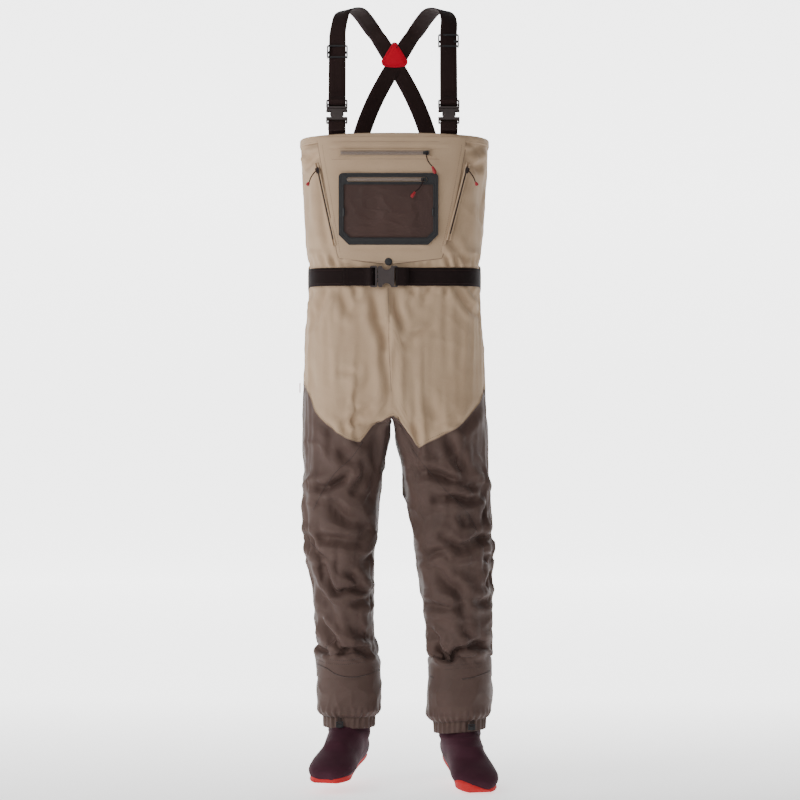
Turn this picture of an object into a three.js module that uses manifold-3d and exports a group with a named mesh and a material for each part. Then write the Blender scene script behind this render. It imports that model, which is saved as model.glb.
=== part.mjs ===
// Stocking-foot chest waders, hanging as if worn: a hollow fabric shell with legs that bend at
// the knee, neoprene booties, crossed elastic suspenders, a wading belt, zipped chest pockets.
// Millimetres. The wearer faces -Y and the wearer's left is +X. The pieces are built with z = 0 at
// the chest hem, and the finished group is moved so that the yoke at the back is the origin.
import * as THREE from "three";
import { mergeVertices } from "three/addons/utils/BufferGeometryUtils.js";
import Module from "manifold-3d";

const wasm = await Module();
wasm.setup();

// ---- Driving dimensions ----------------------------------------------------------------------
const WALL = 4; // stand-in thickness of the fabric
const GAP = 0.3; // between pieces that touch
const AROUND = 28; // points around a fabric section
const BELT_Z = -314; // middle of the belt
const BELT_WIDTH = 40;
const WEBBING = 38; // suspender width
const WEB_THICK = 2;
const FRONT_SLOPE = 0.0945; // the bib leans in towards the waist by this much per mm
const BIB_TOP = new THREE.Vector3(-13, -165, -45); // point on the flat of the bib
const STRAP_X = { right: -126, left: 119.5 }; // front suspenders
const STRAP_LEAN = THREE.MathUtils.degToRad(15.4); // they lean back towards the shoulders
const STRAP_FOOT_Y = -163; // where a strap's line meets the hem level
const YOKE = new THREE.Vector3(0, 113.5, 207); // where the suspenders cross
const YOKE_SLOPE = 0.5; // the crossing leans in towards the neck by this much per mm
const SEAM_GAP = 0.8; // measured up and down, so that steep parts of a seam keep a gap too
const ANKLE_HEIGHT = 72; // ankle centre above the bottom of the bootie
const SOLE_THICK = 5;

// Chest to crotch: half width a, depth f to the front and b to the back, corner sharpness n.
const TORSO = [
  { z: 0, a: 210, f: 165, b: 150, nf: 4, nb: 2.6 },
  { z: -45, a: 208, f: 165, b: 150, nf: 4, nb: 2.6 },
  { z: -100, a: 202, f: 160, b: 146, nf: 4, nb: 2.6 },
  { z: -170, a: 199, f: 153, b: 140, nf: 4, nb: 2.6 },
  { z: -236, a: 195, f: 147, b: 132, nf: 4, nb: 2.6 },
  { z: -275, a: 190, f: 140, b: 127, nf: 4, nb: 2.6 },
  { z: BELT_Z, a: 183, f: 133, b: 122, nf: 4, nb: 2.6 },
  { z: -350, a: 192, f: 137, b: 128, nf: 3.6, nb: 2.6 },
  { z: -416, a: 202, f: 142, b: 140, nf: 3, nb: 2.5 },
  { z: -484, a: 206, f: 142, b: 150, nf: 2.7, nb: 2.4 },
  { z: -560, a: 209, f: 136, b: 150, nf: 2.5, nb: 2.3 },
  { z: -610, a: 196, f: 122, b: 132, nf: 2.4, nb: 2.2 },
  { z: -658, a: 110, f: 70, b: 76, nf: 2.2, nb: 2.2 },
];

// Each leg hangs its own way: sections down the thigh and shin, with the middle at x.
const LEGS = {
  right: {
    side: -1,
    thigh: [
      { z: -540, x: -104, a: 104, f: 128, b: 134 },
      { z: -620, x: -106, a: 104, f: 126, b: 132 },
      { z: -668, x: -109, a: 101, f: 122, b: 126 },
      { z: -731, x: -114, a: 93, f: 112, b: 116 },
      { z: -800, x: -122, a: 90, f: 104, b: 108 },
      { z: -925, x: -121, a: 85, f: 94, b: 94, lean: 0.45 },
    ],
    knee: { x: -119, z: -960, r: 77 },
    shin: [
      { z: -1046, x: -110, a: 69, f: 76, b: 78 },
      { z: -1136, x: -106, a: 73, f: 76, b: 80 },
      { z: -1205, x: -103, a: 75, f: 76, b: 78 },
    ],
    guard: { x: -102, top: -1180, bottom: -1292 },
    ankle: { x: -101, y: 2, z: -1322 },
    pitch: 7,
    yaw: -15,
    seam: [[-230, -540], [-208, -546], [-190, -564], [-175, -606], [-154, -633], [-124, -656],
      [-72, -679], [-48, -652], [-18, -618], [-GAP, -600]],
  },
  left: {
    side: 1,
    thigh: [
      { z: -540, x: 104, a: 104, f: 128, b: 134 },
      { z: -620, x: 106, a: 104, f: 126, b: 132 },
      { z: -668, x: 110, a: 102, f: 122, b: 126 },
      { z: -731, x: 115, a: 100, f: 114, b: 118 },
      { z: -800, x: 123, a: 97, f: 108, b: 110 },
      { z: -925, x: 137, a: 93, f: 98, b: 98, lean: 0.45 },
    ],
    knee: { x: 139, z: -960, r: 84 },
    shin: [
      { z: -1046, x: 143, a: 80, f: 80, b: 82 },
      { z: -1136, x: 149, a: 74, f: 76, b: 80 },
      { z: -1205, x: 147, a: 74, f: 76, b: 78 },
    ],
    guard: { x: 147, top: -1180, bottom: -1298 },
    ankle: { x: 147, y: 2, z: -1330 },
    pitch: 11,
    yaw: 13,
    seam: [[230, -548], [205, -555], [193, -582], [172, -612], [141, -642], [96, -665],
      [37, -691], [26, -664], [12, -622], [GAP, -600]],
  },
};

// ---- Colours ---------------------------------------------------------------------------------
const COLOURS = {
  tan: [0xa8947c, 0.85],
  brown: [0x5f4a42, 0.85],
  mesh: [0x553f37, 0.7],
  neoprene: [0x46303a, 0.9],
  red: [0xc8102e, 0.6],
  webbing: [0x33211f, 0.8],
  black: [0x222328, 0.45],
  plastic: [0x4c4442, 0.5],
  zip: [0x9c9189, 0.6],
};
const materials = {};
for (const [name, [color, roughness]] of Object.entries(COLOURS)) {
  materials[name] = new THREE.MeshStandardMaterial({ color, roughness, metalness: 0 });
}

// ---- Solids ----------------------------------------------------------------------------------
const waders = new THREE.Group();

function addMesh(name, geometry, material, parent = waders) {
  const mesh = new THREE.Mesh(geometry, materials[material]);
  mesh.name = name;
  parent.add(mesh);
  return mesh;
}

// A closed geometry as a manifold solid, turned face out if it was inside out.
function solid(geometry) {
  const bare = new THREE.BufferGeometry();
  bare.setAttribute("position", geometry.getAttribute("position"));
  bare.setIndex(geometry.getIndex());
  const merged = mergeVertices(bare, 1e-4);
  const make = () =>
    new wasm.Manifold(
      new wasm.Mesh({
        numProp: 3,
        vertProperties: new Float32Array(merged.attributes.position.array),
        triVerts: new Uint32Array(merged.index.array),
      }),
    );
  const made = make();
  if (made.volume() >= 0) return made;
  const index = merged.index.array;
  for (let i = 0; i < index.length; i += 3) [index[i], index[i + 1]] = [index[i + 1], index[i]];
  return make();
}

function geometryOf(made) {
  const mesh = made.getMesh();
  const geometry = new THREE.BufferGeometry();
  geometry.setAttribute("position", new THREE.BufferAttribute(mesh.vertProperties, 3));
  geometry.setIndex(new THREE.BufferAttribute(mesh.triVerts, 1));
  return geometry;
}

// A closed solid through rings of equally many points, capped at both ends.
function loft(rings) {
  const count = rings[0].length;
  const points = rings.flat();
  const index = [];
  for (let r = 0; r + 1 < rings.length; r++) {
    for (let i = 0; i < count; i++) {
      const a = r * count + i;
      const b = r * count + ((i + 1) % count);
      index.push(a, b, b + count, a, b + count, a + count);
    }
  }
  const last = (rings.length - 1) * count;
  for (let i = 1; i + 1 < count; i++) {
    index.push(0, i + 1, i, last, last + i, last + i + 1);
  }
  const geometry = new THREE.BufferGeometry().setFromPoints(points);
  geometry.setIndex(index);
  return solid(geometry);
}

// Points around a fabric section; lean tips its plane so that the front sits lower.
function section(s, inset = 0, drop = 0) {
  const { x = 0, y = 0, nf = 2.2, nb = 2.2, lean = 0 } = s;
  const ring = [];
  for (let i = 0; i < AROUND; i++) {
    const t = (2 * Math.PI * i) / AROUND;
    const front = Math.sin(t) < 0;
    const power = 2 / (front ? nf : nb);
    const across = Math.sign(Math.cos(t)) * Math.abs(Math.cos(t)) ** power;
    const along = Math.sign(Math.sin(t)) * Math.abs(Math.sin(t)) ** power;
    const py = y + ((front ? s.f : s.b) - inset) * along;
    ring.push(new THREE.Vector3(x + (s.a - inset) * across, py, s.z + lean * (py - y) - drop));
  }
  return ring;
}

// The inside of a tube of sections: inset by the wall, and past the open ends that are asked for.
function bore(sections, wall, openTop, openBottom) {
  const rings = sections.map((s) => section(s, wall));
  const last = sections.length - 1;
  if (openTop) rings.unshift(section(sections[0], wall, -2 * WALL));
  if (openBottom) rings.push(section(sections[last], wall, 2 * WALL));
  return loft(rings);
}

function tube(sections, wall = WALL) {
  return loft(sections.map((s) => section(s))).subtract(bore(sections, wall, true, true));
}

function box(x0, x1, y0, y1, z0, z1) {
  const geometry = new THREE.BoxGeometry(x1 - x0, y1 - y0, z1 - z0);
  geometry.translate((x0 + x1) / 2, (y0 + y1) / 2, (z0 + z1) / 2);
  return solid(geometry);
}

// An outline in the XZ plane pushed along Y from y0 to y1.
function plate(outline, y0, y1, curveSegments = 3) {
  const shape = outline instanceof THREE.Shape ? outline : new THREE.Shape(outline);
  const geometry = new THREE.ExtrudeGeometry(shape, {
    depth: y1 - y0,
    bevelEnabled: false,
    curveSegments,
  });
  geometry.rotateX(Math.PI / 2); // shape's y becomes z, and the extrusion runs along -Y
  geometry.translate(0, y1, 0);
  return solid(geometry);
}

// A rectangle in the XZ plane with round corners.
function roundedShape(x0, x1, z0, z1, r) {
  const shape = new THREE.Shape();
  shape.moveTo(x0 + r, z0);
  shape.lineTo(x1 - r, z0);
  shape.absarc(x1 - r, z0 + r, r, -Math.PI / 2, 0);
  shape.lineTo(x1, z1 - r);
  shape.absarc(x1 - r, z1 - r, r, 0, Math.PI / 2);
  shape.lineTo(x0 + r, z1);
  shape.absarc(x0 + r, z1 - r, r, Math.PI / 2, Math.PI);
  shape.lineTo(x0, z0 + r);
  shape.absarc(x0 + r, z0 + r, r, Math.PI, 1.5 * Math.PI);
  return shape;
}

// A strap: stations of {at, across, out}, swept as a rectangle.
function ribbon(stations, width, thickness = WEB_THICK) {
  const corners = [[-1, -1], [1, -1], [1, 1], [-1, 1]];
  return loft(
    stations.map(({ at, across, out }) =>
      corners.map(([u, w]) =>
        at
          .clone()
          .addScaledVector(across, (u * width) / 2)
          .addScaledVector(out, (w * thickness) / 2),
      ),
    ),
  );
}

// The fabric's y on the front (or back) of the torso at x and z.
function torsoSection(z) {
  let i = 0;
  while (i + 2 < TORSO.length && z < TORSO[i + 1].z) i++;
  const [p, q] = [TORSO[i], TORSO[i + 1]];
  const t = THREE.MathUtils.clamp((z - p.z) / (q.z - p.z), 0, 1);
  const mixed = {};
  for (const key of Object.keys(p)) mixed[key] = THREE.MathUtils.lerp(p[key], q[key], t);
  return mixed;
}

function frontY(x, z) {
  const s = torsoSection(z);
  return -s.f * (1 - Math.min(1, Math.abs(x / s.a)) ** s.nf) ** (1 / s.nf);
}

// ---- Fabric body -----------------------------------------------------------------------------
function fabricShell() {
  const legs = Object.values(LEGS);
  let outside = loft(TORSO.map((s) => section(s)));
  let inside = bore(TORSO, WALL, true, false);
  for (const leg of legs) {
    outside = outside.add(loft(leg.thigh.map((s) => section(s))));
    inside = inside.add(bore(leg.thigh, WALL, false, true));
  }
  return outside.subtract(inside);
}

// Everything under a leg's seam line, on its own side of the middle.
function belowSeam(leg, shift) {
  const points = leg.seam.map(([x, z]) => new THREE.Vector2(x, z + shift));
  const last = points[points.length - 1];
  if (shift > 0) last.x = 0;
  const [outer, inner] = [points[0].x, last.x];
  points.push(new THREE.Vector2(inner, -1000), new THREE.Vector2(outer, -1000));
  return plate(points, -200, 200);
}

const shell = fabricShell();
const upper = Object.values(LEGS).reduce((s, leg) => s.subtract(belowSeam(leg, SEAM_GAP)), shell);
addMesh("upper_shell", geometryOf(upper), "tan");

// The shin's top is a ball inside the thigh's open end, so that it turns there without touching.
function kneeBall({ x, z, r }) {
  return [35, 12, -10, -30].map((degrees) => {
    const e = THREE.MathUtils.degToRad(degrees);
    return { z: z + r * Math.sin(e), x, a: r * Math.cos(e), f: r * Math.cos(e), b: r * Math.cos(e) };
  });
}

function buildLeg(name, leg) {
  addMesh(name + "_leg_upper", geometryOf(shell.intersect(belowSeam(leg, 0))), "brown");
  addMesh(name + "_leg_lower", geometryOf(tube([...kneeBall(leg.knee), ...leg.shin])), "brown");
  const { x, top, bottom } = leg.guard;
  const guard = [
    { z: top, x, a: 66, f: 67, b: 68 },
    { z: -1212, x, a: 69, f: 71, b: 72 },
    { z: -1240, x, a: 73, f: 74, b: 75 },
    { z: bottom + 12, x, a: 72, f: 73, b: 74 },
    { z: bottom, x, a: 60, f: 64, b: 64 },
  ];
  addMesh(name + "_gravel_guard", geometryOf(tube(guard, 3)), "brown");
  const hem = [
    { z: bottom - GAP, x, a: 58, f: 62, b: 62 },
    { z: bottom - 21, x, a: 57, f: 61, b: 61 },
  ];
  addMesh(name + "_guard_hem", geometryOf(tube(hem, 3.5)), "brown");
}

// ---- Booties ---------------------------------------------------------------------------------
// Cross sections along the foot: y forward is negative, w half width, top above the sole.
const FOOT = [
  { y: 68, w: 14, top: 36 },
  { y: 60, w: 30, top: 56 },
  { y: 30, w: 37, top: 78 },
  { y: 0, w: 40, top: 84 },
  { y: -40, w: 41, top: 80 },
  { y: -80, w: 45, top: 67 },
  { y: -125, w: 52, top: 53 },
  { y: -165, w: 52, top: 43 },
  { y: -195, w: 38, top: 32 },
  { y: -207, w: 18, top: 22 },
];

function footRings(inset) {
  return FOOT.map(({ y, w, top }) => {
    const ring = [];
    const height = top - inset;
    for (let i = 0; i < 16; i++) {
      const t = (2 * Math.PI * i) / 16;
      const z = height * 0.4 + height * 0.6 * Math.sin(t);
      const half = Math.max(w - inset, 6);
      ring.push(new THREE.Vector3(half * Math.cos(t), y * (1 - inset / 70), z - ANKLE_HEIGHT));
    }
    return ring;
  });
}

// The bootie's neck is a ball about the ankle, so that the foot turns inside the guard's hem.
const neck = [43, 28, 8, -15, -35].map((degrees) => {
  const e = THREE.MathUtils.degToRad(degrees);
  const r = 49 * Math.cos(e);
  return { z: 49 * Math.sin(e), a: r, f: r, b: r };
});

function buildFoot(name, leg) {
  const foot = new THREE.Group();
  const { x, y, z } = leg.ankle;
  foot.position.set(x, y, z);
  foot.rotation.set(
    THREE.MathUtils.degToRad(leg.pitch),
    0,
    THREE.MathUtils.degToRad(leg.yaw),
    "ZYX",
  );
  waders.add(foot);
  const ground = -ANKLE_HEIGHT;
  const outside = loft(footRings(0))
    .add(loft(neck.map((s) => section(s))))
    .subtract(box(-80, 80, -250, 120, ground - 60, ground));
  const inside = loft(footRings(5))
    .add(bore(neck, 4.5, true, false))
    .subtract(box(-80, 80, -250, 120, ground - 60, ground + 5));
  addMesh(name + "_bootie", geometryOf(outside.subtract(inside)), "neoprene", foot);
  const outline = [];
  for (const { y: along, w } of FOOT) outline.push([w * 0.93, along * 0.985]);
  const mirrored = outline.map(([half, along]) => [-half, along]).reverse();
  const shape = new THREE.Shape([...outline, ...mirrored].map((p) => new THREE.Vector2(...p)));
  const sole = new THREE.ExtrudeGeometry(shape, { depth: SOLE_THICK, bevelEnabled: false });
  sole.translate(0, 0, ground - SOLE_THICK - GAP);
  addMesh(name + "_sole", geometryOf(solid(sole)), "red", foot);
}

for (const [name, leg] of Object.entries(LEGS)) {
  buildLeg(name, leg);
  buildFoot(name, leg);
}

// ---- Bib, pocket and zips --------------------------------------------------------------------
// A patch on the front of the torso between two offsets, with its half width given at each height.
function frontPatch(rows, near, far, columns = 14) {
  const ringsOf = (offset) =>
    rows.map(([z, half]) => {
      const row = [];
      for (let i = 0; i <= columns; i++) {
        const px = half * ((2 * i) / columns - 1);
        row.push(new THREE.Vector3(px, frontY(px, z) - offset, z));
      }
      return row;
    });
  const front = ringsOf(far);
  const back = ringsOf(near);
  return loft(rows.map((_, r) => [...front[r], ...back[r].reverse()]));
}

const bibRows = [[-8, 165], [-60, 163], [-110, 154], [-170, 140], [-225, 128], [-268, 117]];
addMesh("bib_panel", geometryOf(frontPatch(bibRows, 2, 3.8)), "tan");

// Flat pieces on the bib live in its leaning plane: x across, z up from BIB_TOP, -y outwards.
const bib = new THREE.Group();
bib.position.copy(BIB_TOP);
bib.rotation.x = Math.atan(FRONT_SLOPE);
waders.add(bib);

const POCKET = { half: 109, top: -43, bottom: -200, cut: 22, corner: 9 };
const WINDOW = { half: 98, top: -68, bottom: -184, cut: 14 };
const CHEST_ZIP = { x0: -105, x1: 90, z: 1 };
const POCKET_ZIP = { x0: -91, x1: 85, z: -57 };

function pocketOutline({ half, top, bottom, cut, corner = 3 }) {
  const shape = new THREE.Shape();
  shape.moveTo(-half + cut, bottom);
  shape.lineTo(half - cut, bottom);
  shape.lineTo(half, bottom + cut);
  shape.lineTo(half, top - corner);
  shape.absarc(half - corner, top - corner, corner, 0, Math.PI / 2);
  shape.lineTo(-half + corner, top);
  shape.absarc(-half + corner, top - corner, corner, Math.PI / 2, Math.PI);
  shape.lineTo(-half, bottom + cut);
  return shape;
}

function zipSlot(zip, grow) {
  const half = 5 + grow;
  return roundedShape(zip.x0 - grow, zip.x1 + grow, zip.z - half, zip.z + half, half - 0.2);
}

const frame = plate(pocketOutline(POCKET), -7, -4.2)
  .subtract(plate(pocketOutline(WINDOW), -9, -2))
  .subtract(plate(zipSlot(POCKET_ZIP, 0.4), -9, -2));
addMesh("pocket_frame", geometryOf(frame), "black", bib);
const inset = { half: WINDOW.half - GAP, top: WINDOW.top - GAP, bottom: WINDOW.bottom + GAP };
const windowPane = plate(pocketOutline({ ...inset, cut: WINDOW.cut }), -6, -4.2);
addMesh("pocket_window", geometryOf(windowPane), "mesh", bib);
addMesh("pocket_zip_tape", geometryOf(plate(zipSlot(POCKET_ZIP, 0), -6, -4.2)), "zip", bib);
addMesh("chest_zip_tape", geometryOf(plate(zipSlot(CHEST_ZIP, 0), -5.8, -4.2)), "zip", bib);

// A zip slider: a wedge that is wider at its nose, with the bridge that holds the pull.
function sliderSolid() {
  const body = plate(
    [[-6, -3], [-6, 3], [4, 4.6], [6, 3.4], [6, -3.4], [4, -4.6]].map(
      ([x, z]) => new THREE.Vector2(x, z),
    ),
    -3,
    0,
  );
  return body.add(box(-3.5, 3.5, -5, -2.9, -1, 1));
}

// A cord from the slider to a moulded tip, both lying just off the fabric. reach is where the
// tip ends, seen from the slider, share is the cord's part of it, and bend bows it sideways.
function addPull(name, group, reach, share, bend) {
  const lift = -6.6;
  const end = reach.clone().multiplyScalar(share);
  const side = new THREE.Vector2(-reach.y, reach.x).normalize().multiplyScalar(bend);
  const curve = new THREE.CatmullRomCurve3([
    new THREE.Vector3(0, lift, 0),
    new THREE.Vector3(end.x * 0.35 + side.x, lift, end.y * 0.35 + side.y),
    new THREE.Vector3(end.x * 0.7 + side.x, lift, end.y * 0.7 + side.y),
    new THREE.Vector3(end.x, lift, end.y),
  ]);
  const circle = new THREE.Shape();
  circle.absarc(0, 0, 1.2, 0, 2 * Math.PI);
  const cord = new THREE.ExtrudeGeometry(circle, {
    steps: 8,
    extrudePath: curve,
    curveSegments: 4,
  });
  addMesh(name + "_cord", cord, "webbing", group);
  const tipLength = reach.length() * (1 - share) - 0.6;
  const profile = [[0, 0], [2.2, 0], [4, tipLength * 0.6], [3.4, tipLength - 1], [0, tipLength]];
  const tip = new THREE.LatheGeometry(profile.map((p) => new THREE.Vector2(...p)), 10);
  const direction = new THREE.Vector3(reach.x, 0, reach.y).normalize();
  tip.applyQuaternion(
    new THREE.Quaternion().setFromUnitVectors(new THREE.Vector3(0, 1, 0), direction),
  );
  const start = new THREE.Vector3(end.x, lift, end.y).addScaledVector(direction, 0.6);
  tip.translate(start.x, start.y, start.z);
  addMesh(name + "_tip", tip, "red", group);
}

// The pull hangs plumb, so its group undoes the lean of the bib.
function addZipSlider(name, at, reach, share, bend) {
  const group = new THREE.Group();
  group.position.copy(at);
  bib.add(group);
  addMesh(name + "_slider", geometryOf(sliderSolid()), "black", group);
  const plumb = new THREE.Group();
  plumb.rotation.x = -bib.rotation.x;
  group.add(plumb);
  addPull(name + "_pull", plumb, reach, share, bend);
}

addZipSlider("chest_zip", new THREE.Vector3(CHEST_ZIP.x1 - 8, -6.4, CHEST_ZIP.z),
  new THREE.Vector2(21, -46), 0.65, -3);
addZipSlider("pocket_zip", new THREE.Vector3(POCKET_ZIP.x1 - 8, -7.6, POCKET_ZIP.z),
  new THREE.Vector2(-27, -40), 0.68, 3);

// Hand-warmer zips run down the slanting edges of the bib, one each side.
const WARMERS = {
  right_warmer_zip: { side: -1, x0: 168, z0: -72, x1: 133, z1: -232, proud: 5 },
  left_warmer_zip: { side: 1, x0: 158, z0: -72, x1: 120, z1: -220, proud: 7.4 },
};
for (const [name, { side, x0, z0, x1, z1, proud }] of Object.entries(WARMERS)) {
  const top = new THREE.Vector3(side * x0, 0, z0);
  const foot = new THREE.Vector3(side * x1, 0, z1);
  top.y = frontY(top.x, top.z);
  foot.y = frontY(foot.x, foot.z);
  const down = foot.clone().sub(top).normalize();
  const out = new THREE.Vector3(side * 0.42, -1, 0);
  out.addScaledVector(down, -out.dot(down)).normalize();
  const across = new THREE.Vector3().crossVectors(down, out).normalize();
  const raised = (p) => p.clone().addScaledVector(out, proud);
  const tapeEnds = [top, foot].map((p) => ({ at: raised(p), across, out }));
  addMesh(name + "_tape", geometryOf(ribbon(tapeEnds, 6, 1.4)), "zip");
  const group = new THREE.Group();
  const basis = new THREE.Matrix4().makeBasis(
    across.clone().multiplyScalar(-1),
    out.clone().multiplyScalar(-1),
    down.clone().multiplyScalar(-1),
  );
  group.applyMatrix4(basis);
  group.position.copy(raised(top).addScaledVector(out, 1.2).addScaledVector(down, 9));
  waders.add(group);
  const geometry = geometryOf(sliderSolid());
  geometry.rotateY(-Math.PI / 2);
  addMesh(name + "_slider", geometry, "black", group);
  const plumb = new THREE.Group();
  plumb.position.copy(group.position);
  plumb.rotation.z = side * Math.atan(0.42);
  waders.add(plumb);
  addPull(name + "_pull", plumb, new THREE.Vector2(side * 23, -33), 0.76, side * 2);
}

// A press stud between the bib and the belt.
const stud = new THREE.CylinderGeometry(8, 8.4, 3, 16);
const studMesh = addMesh("belt_snap", stud, "black");
studMesh.position.set(-13, frontY(0, -281) - 3.4, -281);

// ---- Buckles ---------------------------------------------------------------------------------
// Local frame: x across the webbing, z along it towards the male half, -y to the front.
// The receiver's mouth is at z = 0.
const BAR_THICK = 3.2;
const BUCKLE = { half: 23.5, thick: 4.8, cavity: 15.5, cavityThick: 2.7, bar: 3 };

function receiver(length, windowCut) {
  const { half, thick, cavity, cavityThick, bar } = BUCKLE;
  const slotTop = -length + bar + 5;
  let body = plate(roundedShape(-half, half, -length, 0, 4), -thick, thick);
  body = body.subtract(box(-cavity, cavity, -cavityThick, cavityThick, -20, 1));
  body = body.subtract(box(-20, 20, -thick - 1, thick + 1, -length + bar, slotTop));
  for (const y of [-thick - 1, BAR_THICK / 2]) {
    const past = y + thick + 1 - BAR_THICK / 2;
    body = body.subtract(box(-20.5, 20.5, y, past, -length - 1, -length + bar + 0.1));
  }
  return body.subtract(windowCut);
}

// Semicircular windows in the belt buckle's edges, and open waists in the strap buckles'.
function roundWindows(length) {
  const cut = new THREE.CylinderGeometry(10, 10, 20, 20);
  const z = -length / 2 + 3;
  cut.translate(BUCKLE.half + 1, 0, z);
  const other = cut.clone().translate(-2 * (BUCKLE.half + 1), 0, 0);
  return solid(cut).add(solid(other));
}

function waistWindows() {
  return box(13, 30, -10, 10, -19, -5).add(box(-30, -13, -10, 10, -19, -5));
}

function ladder(length) {
  const { half, cavityThick } = BUCKLE;
  const base = 6;
  const low = 1.5;
  let body = plate(roundedShape(-half, half, low, low + length, 3.5), -4.5, 4.5);
  body = body.subtract(box(-20, 20, -6, 6, base, low + length + 1));
  const end = low + length;
  body = body.add(box(-20.5, 20.5, -4.5, -1.5, end - 3.2, end));
  const middle = (base + end - 3.2) / 2;
  body = body.add(box(-20.5, 20.5, 1.5, 4.5, middle - 1.6, middle + 1.6));
  return body.add(box(-3.5, 3.5, -cavityThick + 0.4, cavityThick - 0.4, -17, 3));
}

function latchArm(side) {
  const outline = [[8.5, 1.2], [8.5, -18], [12, -18], [15, -13], [15, -8.5], [12, -7], [12, 1.2]];
  const points = outline.map(([x, z]) => new THREE.Vector2(side * x, z));
  return plate(points, -2.2, 2.2);
}

function addBuckle(name, place, femaleLength, maleLength, windows, armNames) {
  const group = new THREE.Group();
  place(group);
  waders.add(group);
  addMesh(name + "_receiver", geometryOf(receiver(femaleLength, windows)), "plastic", group);
  addMesh(name + "_ladder", geometryOf(ladder(maleLength)), "plastic", group);
  addMesh(name + "_" + armNames[0] + "_latch", geometryOf(latchArm(-1)), "plastic", group);
  addMesh(name + "_" + armNames[1] + "_latch", geometryOf(latchArm(1)), "plastic", group);
}

// Stations of webbing that comes along one face of a bar, turns round it and goes back.
function foldStations(bar, along, out, across, reachFront, radius) {
  const stations = [];
  const put = (u, w, normal) => {
    const at = bar.clone().addScaledVector(along, u).addScaledVector(out, w);
    stations.push({ at, across, out: normal });
  };
  put(-reachFront, radius, out.clone());
  put(0, radius, out.clone());
  for (const degrees of [60, 30, 0, -30, -60]) {
    const e = THREE.MathUtils.degToRad(degrees);
    const [u, w] = [Math.cos(e), Math.sin(e)];
    const normal = along.clone().multiplyScalar(u).addScaledVector(out, w);
    put(radius * u, radius * w, normal);
  }
  put(0, -radius, out.clone().negate());
  return stations;
}

// ---- Belt ------------------------------------------------------------------------------------
const BELT = { a: 191.5, f: 141.5, b: 129.5, mouthX: -36, femaleLength: 44, maleLength: 16 };
const FOLD = 3.4; // radius of the webbing's turn round a bar
const AHEAD = 6; // a buckle stands this far in front of the webbing behind its male half

function beltPoint(x, back) {
  const n = back ? 2.6 : 4;
  const depth = back ? BELT.b : -BELT.f;
  return depth * (1 - Math.min(1, Math.abs(x / BELT.a)) ** n) ** (1 / n);
}

function beltStations() {
  const up = new THREE.Vector3(0, 0, 1);
  const barX = BELT.mouthX + BELT.femaleLength - BUCKLE.bar / 2;
  const bar = new THREE.Vector3(barX, -BELT.f - AHEAD, BELT_Z);
  const stations = foldStations(bar, new THREE.Vector3(-1, 0, 0), new THREE.Vector3(0, -1, 0), up,
    26, FOLD);
  const from = -Math.PI * 0.39;
  const turn = Math.PI * 1.78;
  const steps = 44;
  for (let i = 0; i <= steps; i++) {
    const t = from + (turn * i) / steps;
    const back = Math.sin(t) > 0;
    const x = BELT.a * Math.sign(Math.cos(t)) * Math.abs(Math.cos(t)) ** (2 / (back ? 2.6 : 4));
    const at = new THREE.Vector3(x, beltPoint(x, back), BELT_Z);
    const out = new THREE.Vector3(Math.cos(t) * 0.8, Math.sin(t), 0).normalize();
    stations.push({ at, across: up, out });
  }
  const flat = new THREE.Vector3(0, -1, 0);
  stations.push({ at: new THREE.Vector3(-90, -BELT.f, BELT_Z), across: up, out: flat });
  const end = new THREE.Vector3(BELT.mouthX - 3, -BELT.f, BELT_Z);
  stations.push({ at: end, across: up, out: flat });
  return stations;
}

// Each station's normal follows the path, so that the webbing keeps its thickness round bends
// and never turns over.
function straighten(stations) {
  let previous = stations[0].out;
  return stations.map((s, i) => {
    const before = stations[Math.max(0, i - 1)].at;
    const after = stations[Math.min(stations.length - 1, i + 1)].at;
    const tangent = after.clone().sub(before).normalize();
    const out = new THREE.Vector3().crossVectors(tangent, s.across).normalize();
    if (out.dot(previous) < 0) out.negate();
    previous = out;
    return { ...s, out };
  });
}

addMesh("belt_webbing", geometryOf(ribbon(straighten(beltStations()), BELT_WIDTH)), "webbing");
addBuckle(
  "belt_buckle",
  (group) => {
    group.position.set(BELT.mouthX, -BELT.f - AHEAD, BELT_Z);
    group.rotation.y = -Math.PI / 2;
  },
  BELT.femaleLength,
  BELT.maleLength,
  roundWindows(BELT.femaleLength),
  ["lower", "upper"],
);

// Loops on the fabric that keep the belt at the waist: angle round the waist from +X.
for (const [name, degrees] of [["left_belt_loop", 8], ["back_belt_loop", 90], ["right_belt_loop", 172]]) {
  const t = THREE.MathUtils.degToRad(degrees);
  const x = BELT.a * Math.sign(Math.cos(t)) * Math.abs(Math.cos(t)) ** (2 / 2.6);
  const group = new THREE.Group();
  group.position.set(degrees === 90 ? 0 : x, beltPoint(degrees === 90 ? 0 : x, true), BELT_Z);
  group.rotation.z = degrees === 90 ? Math.PI : Math.sign(x) * THREE.MathUtils.degToRad(97);
  waders.add(group);
  let loop = box(-10, 10, -4.2, -2.2, -30, 30);
  for (const z of [-28, 28]) loop = loop.add(box(-10, 10, -4.2, 0.2, z - 2, z + 2));
  addMesh(name, geometryOf(loop), "tan", group);
}

// ---- Suspenders ------------------------------------------------------------------------------
const strapUp = new THREE.Vector3(0, Math.sin(STRAP_LEAN), Math.cos(STRAP_LEAN));
const strapOut = new THREE.Vector3(0, -Math.cos(STRAP_LEAN), Math.sin(STRAP_LEAN));
const BUCKLE_MOUTH = 52; // along the strap from the hem level
const STRAP_FEMALE = 33;
const STRAP_MALE = 20;

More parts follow.
